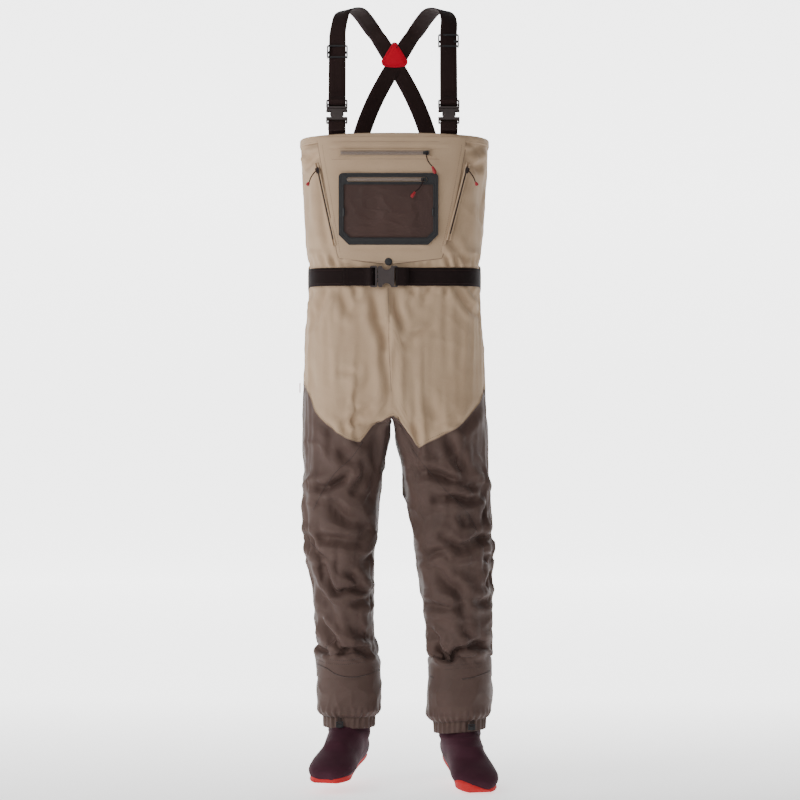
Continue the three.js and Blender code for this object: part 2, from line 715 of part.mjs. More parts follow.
// Over the shoulder, across the back and down to the back hem, for the wearer's right strap.
// Each row is x, y, z of the middle, then the outward direction.
const OVER_SHOULDER = [
  [-121, -84, 256, 0, -1, 0.5],
  [-115, -54, 279, -0.25, -0.7, 0.9],
  [-101, -21, 290, -0.3, -0.2, 1],
  [-84, 13, 291, -0.25, 0.3, 1],
  [-69, 49, 280, -0.1, 0.7, 0.8],
  [-50, 88, 258, 0, 1, 0.5],
  [-33, 99, 236, 0, 1, 0.5],
  [-14, 113.5, 207, 0, 1, 0.5],
  [6, 129, 176, 0, 1, 0.5],
  [22, 142, 150, 0, 1, 0.5],
  [40, 153, 118, 0, 1, 0.2],
  [56, 159, 84, 0, 1, 0.08],
  [70, 161, 48, 0, 1, 0],
  [81, 157, 10, 0, 1, 0],
  [88, 151.5, -34, 0, 1, 0],
];

function strapPoint(side, distance) {
  const foot = new THREE.Vector3(side < 0 ? STRAP_X.right : STRAP_X.left, STRAP_FOOT_Y, 0);
  return foot.addScaledVector(strapUp, distance);
}

function suspenderStations(side, lift) {
  const stations = [];
  const acrossX = new THREE.Vector3(1, 0, 0);
  for (const distance of [BUCKLE_MOUTH + 3, 120, 180, 230]) {
    stations.push({ at: strapPoint(side, distance), across: acrossX, out: strapOut });
  }
  const path = new THREE.CatmullRomCurve3(
    [strapPoint(side, 230), ...OVER_SHOULDER.map(([x, y, z]) => new THREE.Vector3(-side * x, y, z))],
    false,
    "centripetal",
  );
  const normals = new THREE.CatmullRomCurve3(
    [strapOut, ...OVER_SHOULDER.map(([, , , x, y, z]) => new THREE.Vector3(-side * x, y, z))],
    false,
    "centripetal",
  );
  const steps = 36;
  for (let i = 1; i <= steps; i++) {
    const t = i / steps;
    const tangent = path.getTangent(t);
    const out = normals.getPoint(t);
    out.addScaledVector(tangent, -out.dot(tangent)).normalize();
    const across = new THREE.Vector3().crossVectors(tangent, out).normalize();
    const raise = lift * THREE.MathUtils.smoothstep(t, 0.15, 0.35);
    const at = path.getPoint(t).addScaledVector(out, raise);
    if (across.x < 0) across.negate();
    stations.push({ at, across, out });
  }
  return stations;
}

function adjusterSolid() {
  let body = plate(roundedShape(-23, 23, -15, 15, 4), -4.4, 4.4);
  body = body.subtract(box(-20, 20, -6, 6, -11.5, 11.5));
  body = body.add(box(-20.5, 20.5, 1.5, 4.4, -2.5, 2.5));
  return body.subtract(box(-20, 20, -1.5, 6, 11, 16)).subtract(box(-20, 20, -1.5, 6, -16, -11));
}

const SIDES = [["right", -1, 190, 1.5], ["left", 1, 216, -1.5]];
for (const [name, side, adjusterAt, lift] of SIDES) {
  addMesh(name + "_suspender", geometryOf(ribbon(suspenderStations(side, lift), WEBBING)), "webbing");
  const stand = (group, distance, ahead) => {
    group.position.copy(strapPoint(side, distance)).addScaledVector(strapOut, ahead);
    group.rotation.x = -STRAP_LEAN;
  };
  addBuckle(name + "_strap_buckle", (group) => stand(group, BUCKLE_MOUTH, AHEAD), STRAP_FEMALE,
    STRAP_MALE, waistWindows(), side < 0 ? ["outer", "inner"] : ["inner", "outer"]);
  const adjuster = addMesh(name + "_strap_adjuster", geometryOf(adjusterSolid()), "black");
  stand(adjuster, adjusterAt, 0);
  const bar = strapPoint(side, BUCKLE_MOUTH - STRAP_FEMALE + BUCKLE.bar / 2);
  bar.addScaledVector(strapOut, AHEAD);
  const stations = foldStations(bar, strapUp, strapOut, new THREE.Vector3(1, 0, 0), 18, FOLD);
  // The tab is sewn inside the hem, behind the curve of the chest.
  const inside = frontY(Math.abs(bar.x) + WEBBING / 2, -16) + WALL + 4.4;
  const anchor = new THREE.Vector3(bar.x, inside, -30);
  const flat = new THREE.Vector3(0, 1, 0);
  stations.push({ at: anchor.clone().setZ(5), across: stations[0].across, out: flat });
  stations.push({ at: anchor, across: stations[0].across, out: flat });
  addMesh(name + "_strap_tab", geometryOf(ribbon(straighten(stations), WEBBING)), "webbing");
}

// The yoke: two rounded triangles that hold the crossing between them.
function yokeShape() {
  const shape = new THREE.Shape();
  shape.moveTo(-20, -28);
  shape.quadraticCurveTo(0, -31, 20, -28);
  shape.absarc(21, -18, 9, -0.9, 0.5);
  shape.lineTo(7, 24);
  shape.absarc(0, 20, 8, 0.5, Math.PI - 0.5);
  shape.lineTo(-29, -14);
  shape.absarc(-21, -18, 9, Math.PI - 0.5, Math.PI + 0.9);
  return shape;
}

for (const [name, y] of [["yoke_inner_patch", -5], ["yoke_outer_patch", 3]]) {
  const patch = addMesh(name, geometryOf(plate(yokeShape(), y, y + 2, 4)), "red");
  patch.position.copy(YOKE);
  patch.rotation.x = Math.atan(YOKE_SLOPE);
}

// ---- Lace hooks on the gravel guards, and the label on the hip ---------------------------------
function hookSolid() {
  let hook = box(-8, 8, -1.5, 1.5, -13, 0);
  hook = hook.subtract(box(-5, 5, -3, 3, -4.5, -2));
  return hook.add(box(-3.5, 3.5, -6, 1.5, -13, -11)).add(box(-3.5, 3.5, -6.4, -4.6, -13, -6));
}

for (const [name, leg, x] of [["right", LEGS.right, -122], ["left", LEGS.left, 172]]) {
  const hook = addMesh(name + "_lace_hook", geometryOf(hookSolid()), "black");
  const nearest = Math.max(0, Math.abs(x - leg.guard.x) - 8) / 58;
  hook.position.set(x, -62 * (1 - nearest ** 2.2) ** (1 / 2.2) - 2.2, leg.guard.bottom - 9);
}

const label = addMesh("hip_label", geometryOf(box(-1, 1, -7, 7, -11, 11)), "red");
label.position.set(-211.5, -12, -558);

waders.position.copy(YOKE).negate();
const assembly = new THREE.Group();
assembly.add(waders);

export default assembly;
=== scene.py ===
"""Looks for the chest waders: cloth body and legs, neoprene booties, webbing, zips and trim.

Shapes are worked out in millimetres in the garment's own frame, where z = 0 is the chest hem, the
wearer faces -Y and the wearer's left is +X. place() takes them to the shared frame in metres.
"""
import math

import bmesh
import bpy
import numpy as np
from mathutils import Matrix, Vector
from mathutils.bvhtree import BVHTree


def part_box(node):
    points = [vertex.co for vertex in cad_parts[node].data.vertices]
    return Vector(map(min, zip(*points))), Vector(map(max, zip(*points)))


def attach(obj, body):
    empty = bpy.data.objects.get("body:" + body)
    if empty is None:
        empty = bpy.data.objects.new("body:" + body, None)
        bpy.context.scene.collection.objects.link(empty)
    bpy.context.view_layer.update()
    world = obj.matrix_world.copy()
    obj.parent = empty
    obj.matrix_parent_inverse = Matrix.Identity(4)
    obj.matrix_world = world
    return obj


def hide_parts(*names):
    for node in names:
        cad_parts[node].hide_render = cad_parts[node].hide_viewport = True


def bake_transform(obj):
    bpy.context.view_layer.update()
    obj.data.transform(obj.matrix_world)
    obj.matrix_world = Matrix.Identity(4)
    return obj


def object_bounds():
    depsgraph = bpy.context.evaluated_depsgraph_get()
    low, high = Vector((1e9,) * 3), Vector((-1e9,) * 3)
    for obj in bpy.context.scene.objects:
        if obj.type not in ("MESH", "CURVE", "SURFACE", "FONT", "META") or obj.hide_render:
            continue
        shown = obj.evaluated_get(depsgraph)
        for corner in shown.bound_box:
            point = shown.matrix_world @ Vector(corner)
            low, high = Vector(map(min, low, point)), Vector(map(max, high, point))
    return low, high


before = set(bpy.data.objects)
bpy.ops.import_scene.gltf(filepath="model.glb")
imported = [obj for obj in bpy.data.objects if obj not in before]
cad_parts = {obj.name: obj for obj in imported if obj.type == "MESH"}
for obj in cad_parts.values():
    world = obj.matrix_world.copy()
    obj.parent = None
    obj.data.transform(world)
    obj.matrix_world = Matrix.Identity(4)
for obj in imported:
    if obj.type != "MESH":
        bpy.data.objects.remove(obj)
cad_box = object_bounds()

# ---- Driving dimensions, in mm ----------------------------------------------------------------
YOKE = np.array([0.0, 113.5, 207.0])  # the shared frame's origin, in the garment's own frame
BELT_Z = -314
BELT_WIDTH = 40
WEBBING = 38
COLUMNS = 144  # around the torso
CROTCH = 22  # across the crotch, from front to back
UPPER_ROWS = 82  # hem to seam
LEG_ROWS = 84  # seam to cuff
HEM_Z = 0
CUFF_Z = -1205
MERGE_TOP, MERGE_BOTTOM = -590, -705  # where the hips part into two legs

# z, half width, depth to the front and back, sharpness of the front and back
TORSO = np.array([
    (0, 210, 165, 150, 4, 2.6),
    (-45, 208, 165, 150, 4, 2.6),
    (-100, 202, 160, 146, 4, 2.6),
    (-170, 199, 153, 140, 4, 2.6),
    (-236, 195, 147, 132, 4, 2.6),
    (-275, 191, 141, 128, 4, 2.6),
    (BELT_Z, 187, 136, 125, 4, 2.6),
    (-350, 193, 138, 129, 3.6, 2.6),
    (-416, 202, 142, 140, 3, 2.5),
    (-484, 206, 142, 150, 2.7, 2.4),
    (-560, 209, 136, 150, 2.5, 2.3),
    (-720, 210, 132, 145, 2.4, 2.3),
], float)

# z, middle x, half width, depth to the front and back
LEG_SECTIONS = {
    "right": np.array([
        (-540, -105, 104, 130, 136),
        (-620, -107, 103, 127, 133),
        (-668, -106, 105, 122, 126),
        (-731, -114, 93, 112, 116),
        (-800, -122, 90, 104, 108),
        (-866, -125, 88, 99, 101),
        (-911, -124, 84, 96, 96),
        (-956, -120, 81, 92, 90),
        (-1001, -115, 73, 84, 84),
        (-1046, -110, 70, 77, 80),
        (-1091, -110, 71, 76, 80),
        (-1136, -106, 73, 76, 80),
        (-1205, -103, 72, 75, 77),
    ], float),
    "left": np.array([
        (-540, 105, 104, 130, 136),
        (-620, 108, 102, 127, 133),
        (-668, 106.5, 105.5, 122, 126),
        (-731, 115, 100, 114, 118),
        (-800, 122, 98, 108, 110),
        (-866, 129, 92, 102, 103),
        (-911, 137, 91, 98, 98),
        (-956, 138, 88, 95, 93),
        (-1001, 142, 83, 87, 87),
        (-1046, 143, 81, 81, 83),
        (-1091, 147, 76, 78, 81),
        (-1136, 147, 73, 76, 80),
        (-1205, 147, 72, 75, 77),
    ], float),
}

# Where tan meets brown on each thigh, seen from the front: |x| from the outside in, and z.
SEAMS = {
    "right": np.array([(208, -546), (190, -564), (175, -606), (154, -633), (124, -656),
                       (72, -679), (48, -652), (18, -618), (0, -600)], float),
    "left": np.array([(205, -555), (193, -582), (172, -612), (141, -642), (96, -665),
                      (37, -691), (26, -664), (12, -622), (0, -600)], float),
}


def place(points):
    """Garment millimetres to the shared frame's metres."""
    return (np.asarray(points, float) - YOKE) / 1000


def smoothstep(a, b, value):
    t = np.clip((np.asarray(value, float) - a) / (b - a), 0, 1)
    return t * t * (3 - 2 * t)


# ---- Materials --------------------------------------------------------------------------------
def srgb(r, g, b):
    """An 8-bit screen colour as linear light."""
    return tuple(((c / 255 + 0.055) / 1.055) ** 2.4 if c > 10 else c / 255 / 12.92 for c in (r, g, b)) + (1,)


class Nodes:
    """Short calls for building one material's nodes."""

    def __init__(self, name):
        self.material = bpy.data.materials.new(name)
        self.material.use_nodes = True
        self.tree = self.material.node_tree
        self.shader = self.tree.nodes["Principled BSDF"]
        coords = self.tree.nodes.new("ShaderNodeTexCoord")
        self.coords = coords.outputs["Object"]

    def add(self, kind, inputs=None, **settings):
        node = self.tree.nodes.new("ShaderNode" + kind)
        for key, value in settings.items():
            setattr(node, key, value)
        for key, value in (inputs or {}).items():
            self.put(node.inputs[key], value)
        return node

    def put(self, socket, value):
        if isinstance(value, bpy.types.NodeSocket):
            self.tree.links.new(value, socket)
        else:
            socket.default_value = value

    def noise(self, scale, detail=3, roughness=0.55):
        made = self.add("TexNoise", {"Vector": self.coords, "Scale": scale, "Detail": detail,
                                     "Roughness": roughness})
        return made.outputs["Fac"]

    def ramp(self, value, low, high, start=0.0, end=1.0):
        made = self.add("MapRange", {"Value": value, "From Min": low, "From Max": high,
                                     "To Min": start, "To Max": end})
        return made.outputs["Result"]

    def math(self, operation, a, b=0.0):
        return self.add("Math", {0: a, 1: b}, operation=operation).outputs[0]

    def mix(self, factor, a, b):
        made = self.add("Mix", {"Factor": factor}, data_type="RGBA")
        self.put(made.inputs[6], a)
        self.put(made.inputs[7], b)
        return made.outputs[2]

    def wave(self, axis, pitch):
        """Bands across an axis, one each pitch metres."""
        made = self.add("TexWave", {"Vector": self.coords, "Scale": 2 * math.pi / (20 * pitch)},
                        wave_type="BANDS", bands_direction=axis)
        return made.outputs["Fac"]

    def bump(self, height, strength, distance):
        made = self.add("Bump", {"Height": height, "Strength": strength, "Distance": distance})
        self.put(self.shader.inputs["Normal"], made.outputs["Normal"])

    def finish(self, colour, roughness, **others):
        self.put(self.shader.inputs["Base Color"], colour)
        self.put(self.shader.inputs["Roughness"], roughness)
        for key, value in others.items():
            self.put(self.shader.inputs[key.replace("_", " ")], value)
        return self.material


def cloth_material(name, light, dark, rough=0.8, sheen=0.15):
    """Coated nylon: a fine plain weave and faint mottling."""
    n = Nodes(name)
    mottle = n.ramp(n.noise(9, 4), 0.3, 0.7)
    fine = n.ramp(n.noise(420, 2), 0.3, 0.7)
    weave = n.math("ADD", n.wave("X", 0.0009), n.wave("Z", 0.0009))
    speck = n.math("ADD", n.math("MULTIPLY", fine, 0.35), n.math("MULTIPLY", mottle, 0.65))
    colour = n.mix(speck, dark, light)
    height = n.math("ADD", n.math("MULTIPLY", weave, 0.25), n.noise(160, 4))
    n.bump(height, 0.35, 0.0006)
    return n.finish(colour, n.ramp(fine, 0, 1, rough - 0.06, rough + 0.06), Sheen_Weight=sheen,
                    Specular_IOR_Level=0.3)


def webbing_material(name, light, dark):
    """Woven webbing: ribs across the strap."""
    n = Nodes(name)
    ribs = n.math("ADD", n.wave("X", 0.0022), n.wave("Z", 0.0022))
    fuzz = n.noise(900, 2)
    colour = n.mix(n.ramp(n.math("ADD", n.math("MULTIPLY", ribs, 0.5), fuzz), 0.4, 1.3), dark, light)
    n.bump(n.math("ADD", ribs, n.math("MULTIPLY", fuzz, 0.5)), 0.5, 0.0008)
    return n.finish(colour, 0.8, Sheen_Weight=0.02, Specular_IOR_Level=0.15)


def moulded_material(name, light, dark, rough=0.5, grain=0.25):
    """Moulded plastic or rubber: a fine spark-eroded grain, and polish that varies a little."""
    n = Nodes(name)
    patch = n.noise(60, 3)
    n.bump(n.noise(1500, 2), grain, 0.0003)
    return n.finish(n.mix(patch, dark, light), n.ramp(patch, 0.3, 0.7, rough - 0.07, rough + 0.07))


def neoprene_material(name, light, dark):
    """Jersey-faced neoprene: a fine knit with a soft sheen."""
    n = Nodes(name)
    knit = n.math("MULTIPLY", n.wave("X", 0.0014), n.wave("Z", 0.0014))
    mottle = n.noise(30, 4)
    colour = n.mix(n.ramp(n.math("ADD", knit, mottle), 0.3, 1.3), dark, light)
    n.bump(n.math("ADD", knit, n.math("MULTIPLY", n.noise(700, 2), 0.6)), 0.4, 0.0006)
    return n.finish(colour, 0.8, Sheen_Weight=0.03, Sheen_Roughness=0.4, Specular_IOR_Level=0.15)


TAN = cloth_material("tan_nylon", srgb(178, 152, 125), srgb(164, 138, 112), sheen=0.04)
BROWN = cloth_material("brown_nylon", srgb(80, 61, 54), srgb(68, 51, 45), rough=0.66, sheen=0.04)
BROWN_DARK = cloth_material("brown_stitching", srgb(50, 36, 32), srgb(40, 29, 26))
TAN_DARK = cloth_material("tan_stitching", srgb(138, 117, 98), srgb(124, 104, 87))
PANE = cloth_material("pocket_face", srgb(64, 42, 36), srgb(52, 33, 28), rough=0.6)
STRAP = webbing_material("suspender_webbing", srgb(40, 24, 22), srgb(27, 15, 14))
BELTING = webbing_material("belt_webbing_weave", srgb(28, 15, 14), srgb(18, 9, 9))
BLACK = moulded_material("black_rubber", srgb(24, 22, 24), srgb(17, 16, 18), rough=0.6)
BUCKLE = moulded_material("buckle_acetal", srgb(56, 45, 43), srgb(44, 35, 34), rough=0.45)
RED = moulded_material("red_rubber", srgb(150, 2, 20), srgb(132, 1, 14), rough=0.5)
SOLE_RED = moulded_material("sole_rubber", srgb(178, 0, 2), srgb(164, 0, 1), rough=0.75)
COIL = moulded_material("zip_coil", srgb(156, 141, 134), srgb(134, 120, 114), rough=0.45)
NEOPRENE = neoprene_material("plum_neoprene", srgb(68, 35, 46), srgb(52, 25, 35))

CAD_MATERIALS = {  # by the ending of the node's name; the first that fits counts
    "warmer_zip_slider": BROWN_DARK,
    "_slider": BLACK, "_adjuster": BLACK, "_hook": BLACK, "_snap": BLACK, "_frame": BLACK,
    "_receiver": BUCKLE, "_ladder": BUCKLE, "_latch": BUCKLE, "_tip": RED,
}


def finish_cad_nodes():
    """Materials and softened edges for the hard pieces that the CAD model shapes."""
    for name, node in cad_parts.items():
        for ending, material in CAD_MATERIALS.items():
            if not name.endswith(ending):
                continue
            node.data.materials.clear()
            node.data.materials.append(material)
            bevel = node.modifiers.new("edges", "BEVEL")
            bevel.width = 0.0006 if ending in ("_slider", "_tip", "_latch") else 0.0009
            bevel.segments = 2
            bevel.limit_method = "ANGLE"
            bevel.angle_limit = math.radians(35)
            break


# ---- Mesh helpers -----------------------------------------------------------------------------
def add_mesh(name, points, faces, material, smooth=True):
    """A mesh object from garment millimetres."""
    mesh = bpy.data.meshes.new(name)
    mesh.from_pydata([tuple(p) for p in place(points)], [], [tuple(int(i) for i in f) for f in faces])
    if smooth:
        mesh.polygons.foreach_set("use_smooth", [True] * len(mesh.polygons))
    mesh.materials.append(material)
    mesh.update()
    piece = bpy.data.objects.new(name, mesh)
    bpy.context.scene.collection.objects.link(piece)
    return piece


def grid_faces(rows, columns, closed=False, offset=0):
    """Quads between rows of points; closed joins the last column to the first."""
    faces = []
    for r in range(rows - 1):
        for c in range(columns if closed else columns - 1):
            a = offset + r * columns + c
            b = offset + r * columns + (c + 1) % columns
            faces.append((a, a + columns, b + columns, b))
    return faces


def modifier(piece, kind, **settings):
    made = piece.modifiers.new(kind.lower(), kind)
    for key, value in settings.items():
        setattr(made, key, value)
    return made


def hem_dip(points):
    """The chest opening dips toward the sides."""
    made = np.array(points, float)
    made[:, 2] -= 8 * (np.abs(made[:, 0]) / 210) ** 2.2 * smoothstep(-110, -10, made[:, 2])
    return made


def resample(points, count, closed=False):
    """A polyline's points spread evenly along it."""
    points = np.asarray(points, float)
    if closed:
        points = np.vstack([points, points[:1]])
    run = np.concatenate([[0], np.cumsum(np.linalg.norm(np.diff(points, axis=0), axis=1))])
    where = np.linspace(0, run[-1], count + 1 if closed else count)
    made = np.stack([np.interp(where, run, points[:, k]) for k in range(points.shape[1])], 1)
    return made[:-1] if closed else made


def smooth_path(points, count):
    """A Catmull-Rom curve through the points, spread evenly."""
    p = np.asarray(points, float)
    p = np.vstack([2 * p[0] - p[1], p, 2 * p[-1] - p[-2]])
    made = []
    for i in range(1, len(p) - 2):
        for t in np.linspace(0, 1, 24, endpoint=False):
            a, b, c, d = p[i - 1], p[i], p[i + 1], p[i + 2]
            made.append(0.5 * (2 * b + (c - a) * t + (2 * a - 5 * b + 4 * c - d) * t**2
                               + (3 * b - a - 3 * c + d) * t**3))
    made.append(p[-2])
    return resample(made, count)


def ripple(points, wavelength, seed):
    """Smooth noise from -1 to 1 at each point, as a sum of plane waves."""
    rng = np.random.default_rng(seed)
    total = np.zeros(len(points))
    for _ in range(14):
        direction = rng.normal(size=3)
        direction /= np.linalg.norm(direction)
        k = 2 * math.pi / (wavelength * rng.uniform(0.7, 1.5))
        total += np.sin(points @ direction * k + rng.uniform(0, 2 * math.pi))
    return total / 4


# ---- The garment's base shape -----------------------------------------------------------------
def fields(table, z):
    """Each column of a table of sections at height z, rounded off between its rows."""
    spread = np.linspace(-22, 22, 9)
    order = np.argsort(table[:, 0])
    zs = np.asarray(z, float)[..., None] + spread
    return [np.interp(zs, table[order, 0], table[order, k]).mean(-1) for k in range(1, table.shape[1])]


def superellipse(t, a, front, back, sharp_front, sharp_back):
    """Points at angles t round a section, where -90 degrees is the front."""
    ahead = np.sin(t) < 0
    power = 2 / np.where(ahead, sharp_front, sharp_back)
    depth = np.where(ahead, front, back)
    x = a * np.sign(np.cos(t)) * np.abs(np.cos(t)) ** power
    y = depth * np.sign(np.sin(t)) * np.abs(np.sin(t)) ** power
    return np.stack([x, y], -1)


HALF = COLUMNS // 2 + 1  # columns from the front middle round one side to the back middle


def torso_half(z, side, inset=0.0):
    """Half of the torso's section, from the front middle round the side to the back middle."""
    a, front, back, nf, nb = fields(TORSO, z)
    t = np.linspace(-math.pi / 2, math.pi / 2, 400)
    ring = superellipse(t, a - inset, front - inset, back - inset, nf, nb)
    ring = resample(ring, HALF)
    ring[:, 0] *= side
    return ring


def leg_outer(z, name, inset=0.0):
    """The part of a leg's section that carries the torso's columns on down."""
    side = 1 if name == "left" else -1
    x, a, front, back = fields(LEG_SECTIONS[name], z)
    t = np.linspace(math.radians(-135), math.radians(135), 400)
    ring = resample(superellipse(t, a - inset, front - inset, back - inset, 2.2, 2.2), HALF)
    ring[:, 0] = side * ring[:, 0] + x
    return ring


def leg_inner(z, name, inset=0.0):
    """The rest of a leg's section, on the inside of the thigh, from back to front."""
    side = 1 if name == "left" else -1
    x, a, front, back = fields(LEG_SECTIONS[name], z)
    t = np.linspace(math.radians(135), math.radians(225), 200)
    ring = resample(superellipse(t, a - inset, front - inset, back - inset, 2.2, 2.2), CROTCH + 2)
    ring[:, 0] = side * ring[:, 0] + x
    return ring[1:-1]


def outer_at(z, name, inset=0.0):
    """Where the outer columns are at one height, from hips to legs."""
    side = 1 if name == "left" else -1
    part = smoothstep(MERGE_TOP, MERGE_BOTTOM, z)
    torso = torso_half(z, side, inset)
    if part == 0:
        return torso
    return (1 - part) * torso + part * leg_outer(z, name, inset)


def inner_at(z, name, inset=0.0):
    part = smoothstep(MERGE_TOP - 10, MERGE_BOTTOM, z)
    torso = torso_half(z, 1, inset)
    flat = np.stack([np.zeros(CROTCH), np.linspace(torso[-1, 1], torso[0, 1], CROTCH + 2)[1:-1]], 1)
    return (1 - part) * flat + part * leg_inner(z, name, inset)


class Sheet:
    """Where each column is at any height, from rings worked out every few millimetres."""

    def __init__(self, ring_at, name, top, bottom):
        self.levels = np.arange(bottom - 6, top + 6.1, 6.0)
        self.rings = np.stack([ring_at(z, name) for z in self.levels])

    def at(self, z):
        """One point for each column, at that column's own height."""
        z = np.asarray(z, float)
        made = np.empty((len(z), 3))
        for c in range(len(z)):
            for k in range(2):
                made[c, k] = np.interp(z[c], self.levels, self.rings[:, c, k])
        made[:, 2] = z
        return made


def seam_heights(sheet, name):
    """The seam's height on each outer column."""
    outline = SEAMS[name]
    z = np.full(HALF, -610.0)
    for _ in range(8):
        x = np.abs(sheet.at(z)[:, 0])
        z = 0.5 * z + 0.5 * np.interp(x, outline[::-1, 0], outline[::-1, 1])
    z[0] = z[-1] = outline[-1, 1]
    return z


def build_garment():
    """Points and faces of body and legs as one sheet, with each face's piece."""
    sheets = {n: Sheet(outer_at, n, HEM_Z, CUFF_Z) for n in SEAMS}
    seams = {n: seam_heights(sheets[n], n) for n in SEAMS}
    points = []
    part = []
    faces = []
    down = np.linspace(0, 1, UPPER_ROWS)
    ring_z = np.concatenate([seams["left"], seams["right"][-2:0:-1]])
    for v in down:
        heights = HEM_Z + (ring_z - HEM_Z) * v
        left = sheets["left"].at(heights[:HALF])
        right = sheets["right"].at(np.concatenate([heights[:1], heights[:HALF - 2:-1]]))
        points.append(np.vstack([left, right[-2:0:-1]]))
    faces += grid_faces(UPPER_ROWS, COLUMNS, closed=True)
    part += [0] * len(faces)
    base = (UPPER_ROWS - 1) * COLUMNS
    rim = {
        "left": [base + c for c in range(HALF)],
        "right": [base] + [base + COLUMNS - c for c in range(1, HALF)],
    }
    count = UPPER_ROWS * COLUMNS
    arc = np.linspace(0, 1, CROTCH + 2)[1:-1]
    crotch_z = SEAMS["left"][-1, 1] - 14 * np.sin(math.pi * arc)
    crotch = np.stack([np.zeros(CROTCH), np.zeros(CROTCH), crotch_z], 1)
    for c in range(CROTCH):
        crotch[c, 1] = inner_at(-590, "left")[c, 1]
    points.append(crotch)
    crotch_ids = list(range(count, count + CROTCH))
    count += CROTCH
    for index, name in enumerate(("right", "left")):
        inner = Sheet(inner_at, name, -560, CUFF_Z)
        above = rim[name] + crotch_ids
        side = 1 if name == "left" else -1
        for v in np.linspace(0, 1, LEG_ROWS)[1:]:
            outer_z = seams[name] + (CUFF_Z - seams[name]) * v
            inner_z = crotch_z + (CUFF_Z - crotch_z) * v
            ring = np.vstack([sheets[name].at(outer_z), inner.at(inner_z)])
            ring[:, 0] += side * 1.5 * smoothstep(0, 0.05, v) * (np.abs(ring[:, 0]) < 3)
            points.append(ring)
            ids = list(range(count, count + len(ring)))
            count += len(ring)
            for c in range(len(ids)):
                d = (c + 1) % len(ids)
                quad = (above[c], ids[c], ids[d], above[d])
                faces.append(quad if side > 0 else quad[::-1])
                part.append(1 + index)
            above = ids
    return np.vstack(points), faces, np.array(part)


# ---- Cloth simulation of body and legs --------------------------------------------------------
def slack(z, table):
    """How much longer than its space the cloth is cut, by height."""
    table = np.array(table, float)
    order = np.argsort(table[:, 0])
    return np.interp(z, table[order, 0], table[order, 1])


LONGER = [(0, 1.01), (-60, 1.015), (-240, 1.03), (-285, 1.09), (-294, 1.02), (-334, 1.02), (-345, 1.1),
          (-420, 1.05), (-600, 1.04), (-760, 1.06), (-860, 1.09), (-960, 1.13), (-1040, 1.1),
          (-1100, 1.13), (-1180, 1.18), (-1205, 1.12)]
WIDER = [(0, 1.0), (-60, 1.015), (-240, 1.03), (-285, 1.06), (-294, 1.0), (-334, 1.0), (-345, 1.06),
         (-420, 1.04), (-600, 1.03), (-760, 1.04), (-1000, 1.05), (-1180, 1.06), (-1205, 1.02)]
BODY_INSET = [(20, 12), (-800, 12), (-960, 19), (-1060, 22), (-1240, 24)]  # of the inner body, by height


def cut_shape(points):
    """The shape the cloth was cut to: the body's, let out lengthways and round."""
    z = points[:, 2]
    levels = np.arange(5, CUFF_Z - 60, -2.0)
    run = np.concatenate([[levels[0]], levels[0] - np.cumsum(2 * slack(levels[:-1], LONGER))])
    made = points.copy()
    made[:, 2] = np.interp(-z, -levels, run)
    middle = np.zeros(len(z))
    for name, side in (("right", -1), ("left", 1)):
        mine = (points[:, 0] * side > 0) & (z < MERGE_TOP)
        leg_x = fields(LEG_SECTIONS[name], z[mine])[0]
        middle[mine] = leg_x * smoothstep(MERGE_TOP, MERGE_BOTTOM, z[mine])
    wider = slack(z, WIDER)
    made[:, 0] = middle + (points[:, 0] - middle) * wider
    made[:, 1] = points[:, 1] * wider
    return made


def hold_weights(points):
    """Where the cloth is held: hem, belt, cuffs, and the flat chest under the bib."""
    x, y, z = points.T
    held = smoothstep(-26, -8, z)
    belt = smoothstep(BELT_WIDTH / 2 + 10, BELT_WIDTH / 2 - 2, np.abs(z - BELT_Z))
    cuffs = smoothstep(CUFF_Z + 55, CUFF_Z + 28, z)
    edge = np.interp(z, [-285, -225, -60, 0], [96, 122, 166, 170])
    chest = smoothstep(0, 22, edge - np.abs(x)) * (y < 0) * smoothstep(-290, -262, z)
    return np.clip(np.maximum.reduce([held, belt, cuffs, chest]), 0, 1)


def mannequin():
    """A smooth body inside the cloth for it to rest on, as solid tubes."""
    levels = np.arange(20, CUFF_Z - 30, -18.0)
    points, faces = [], []

    def tube(rings):
        offset = sum(len(p) for p in points)
        for ring in rings:
            points.append(ring)
        faces.extend(grid_faces(len(rings), len(rings[0]), closed=True, offset=offset))

    def ring3(flat, z):
        return np.column_stack([flat[::3], np.full(len(flat[::3]), z)])

    trunk = []
    for z in levels[levels > -640]:
        half = torso_half(z, 1, slack(z, BODY_INSET))
        other = half[-2:0:-1] * (-1, 1)
        trunk.append(ring3(np.vstack([half, other]), z))
    tube(trunk)
    for name in SEAMS:
        rings = []
        for z in levels[levels < -560]:
            inset = slack(z, BODY_INSET)
            ring = np.vstack([leg_outer(z, name, inset), leg_inner(z, name, inset)])
            ring = ring if name == "left" else ring[::-1]
            rings.append(ring3(ring, z))
        tube(rings)
    body = add_mesh("inner_body", np.vstack(points), faces, TAN)
    body.modifiers.new("collide", "COLLISION")
    body.collision.thickness_outer = 0.003
    body.collision.cloth_friction = 8
    return body


SIM_FRAMES = 30
CLOTH_CAP = 26.0  # how far a point may move, in mm


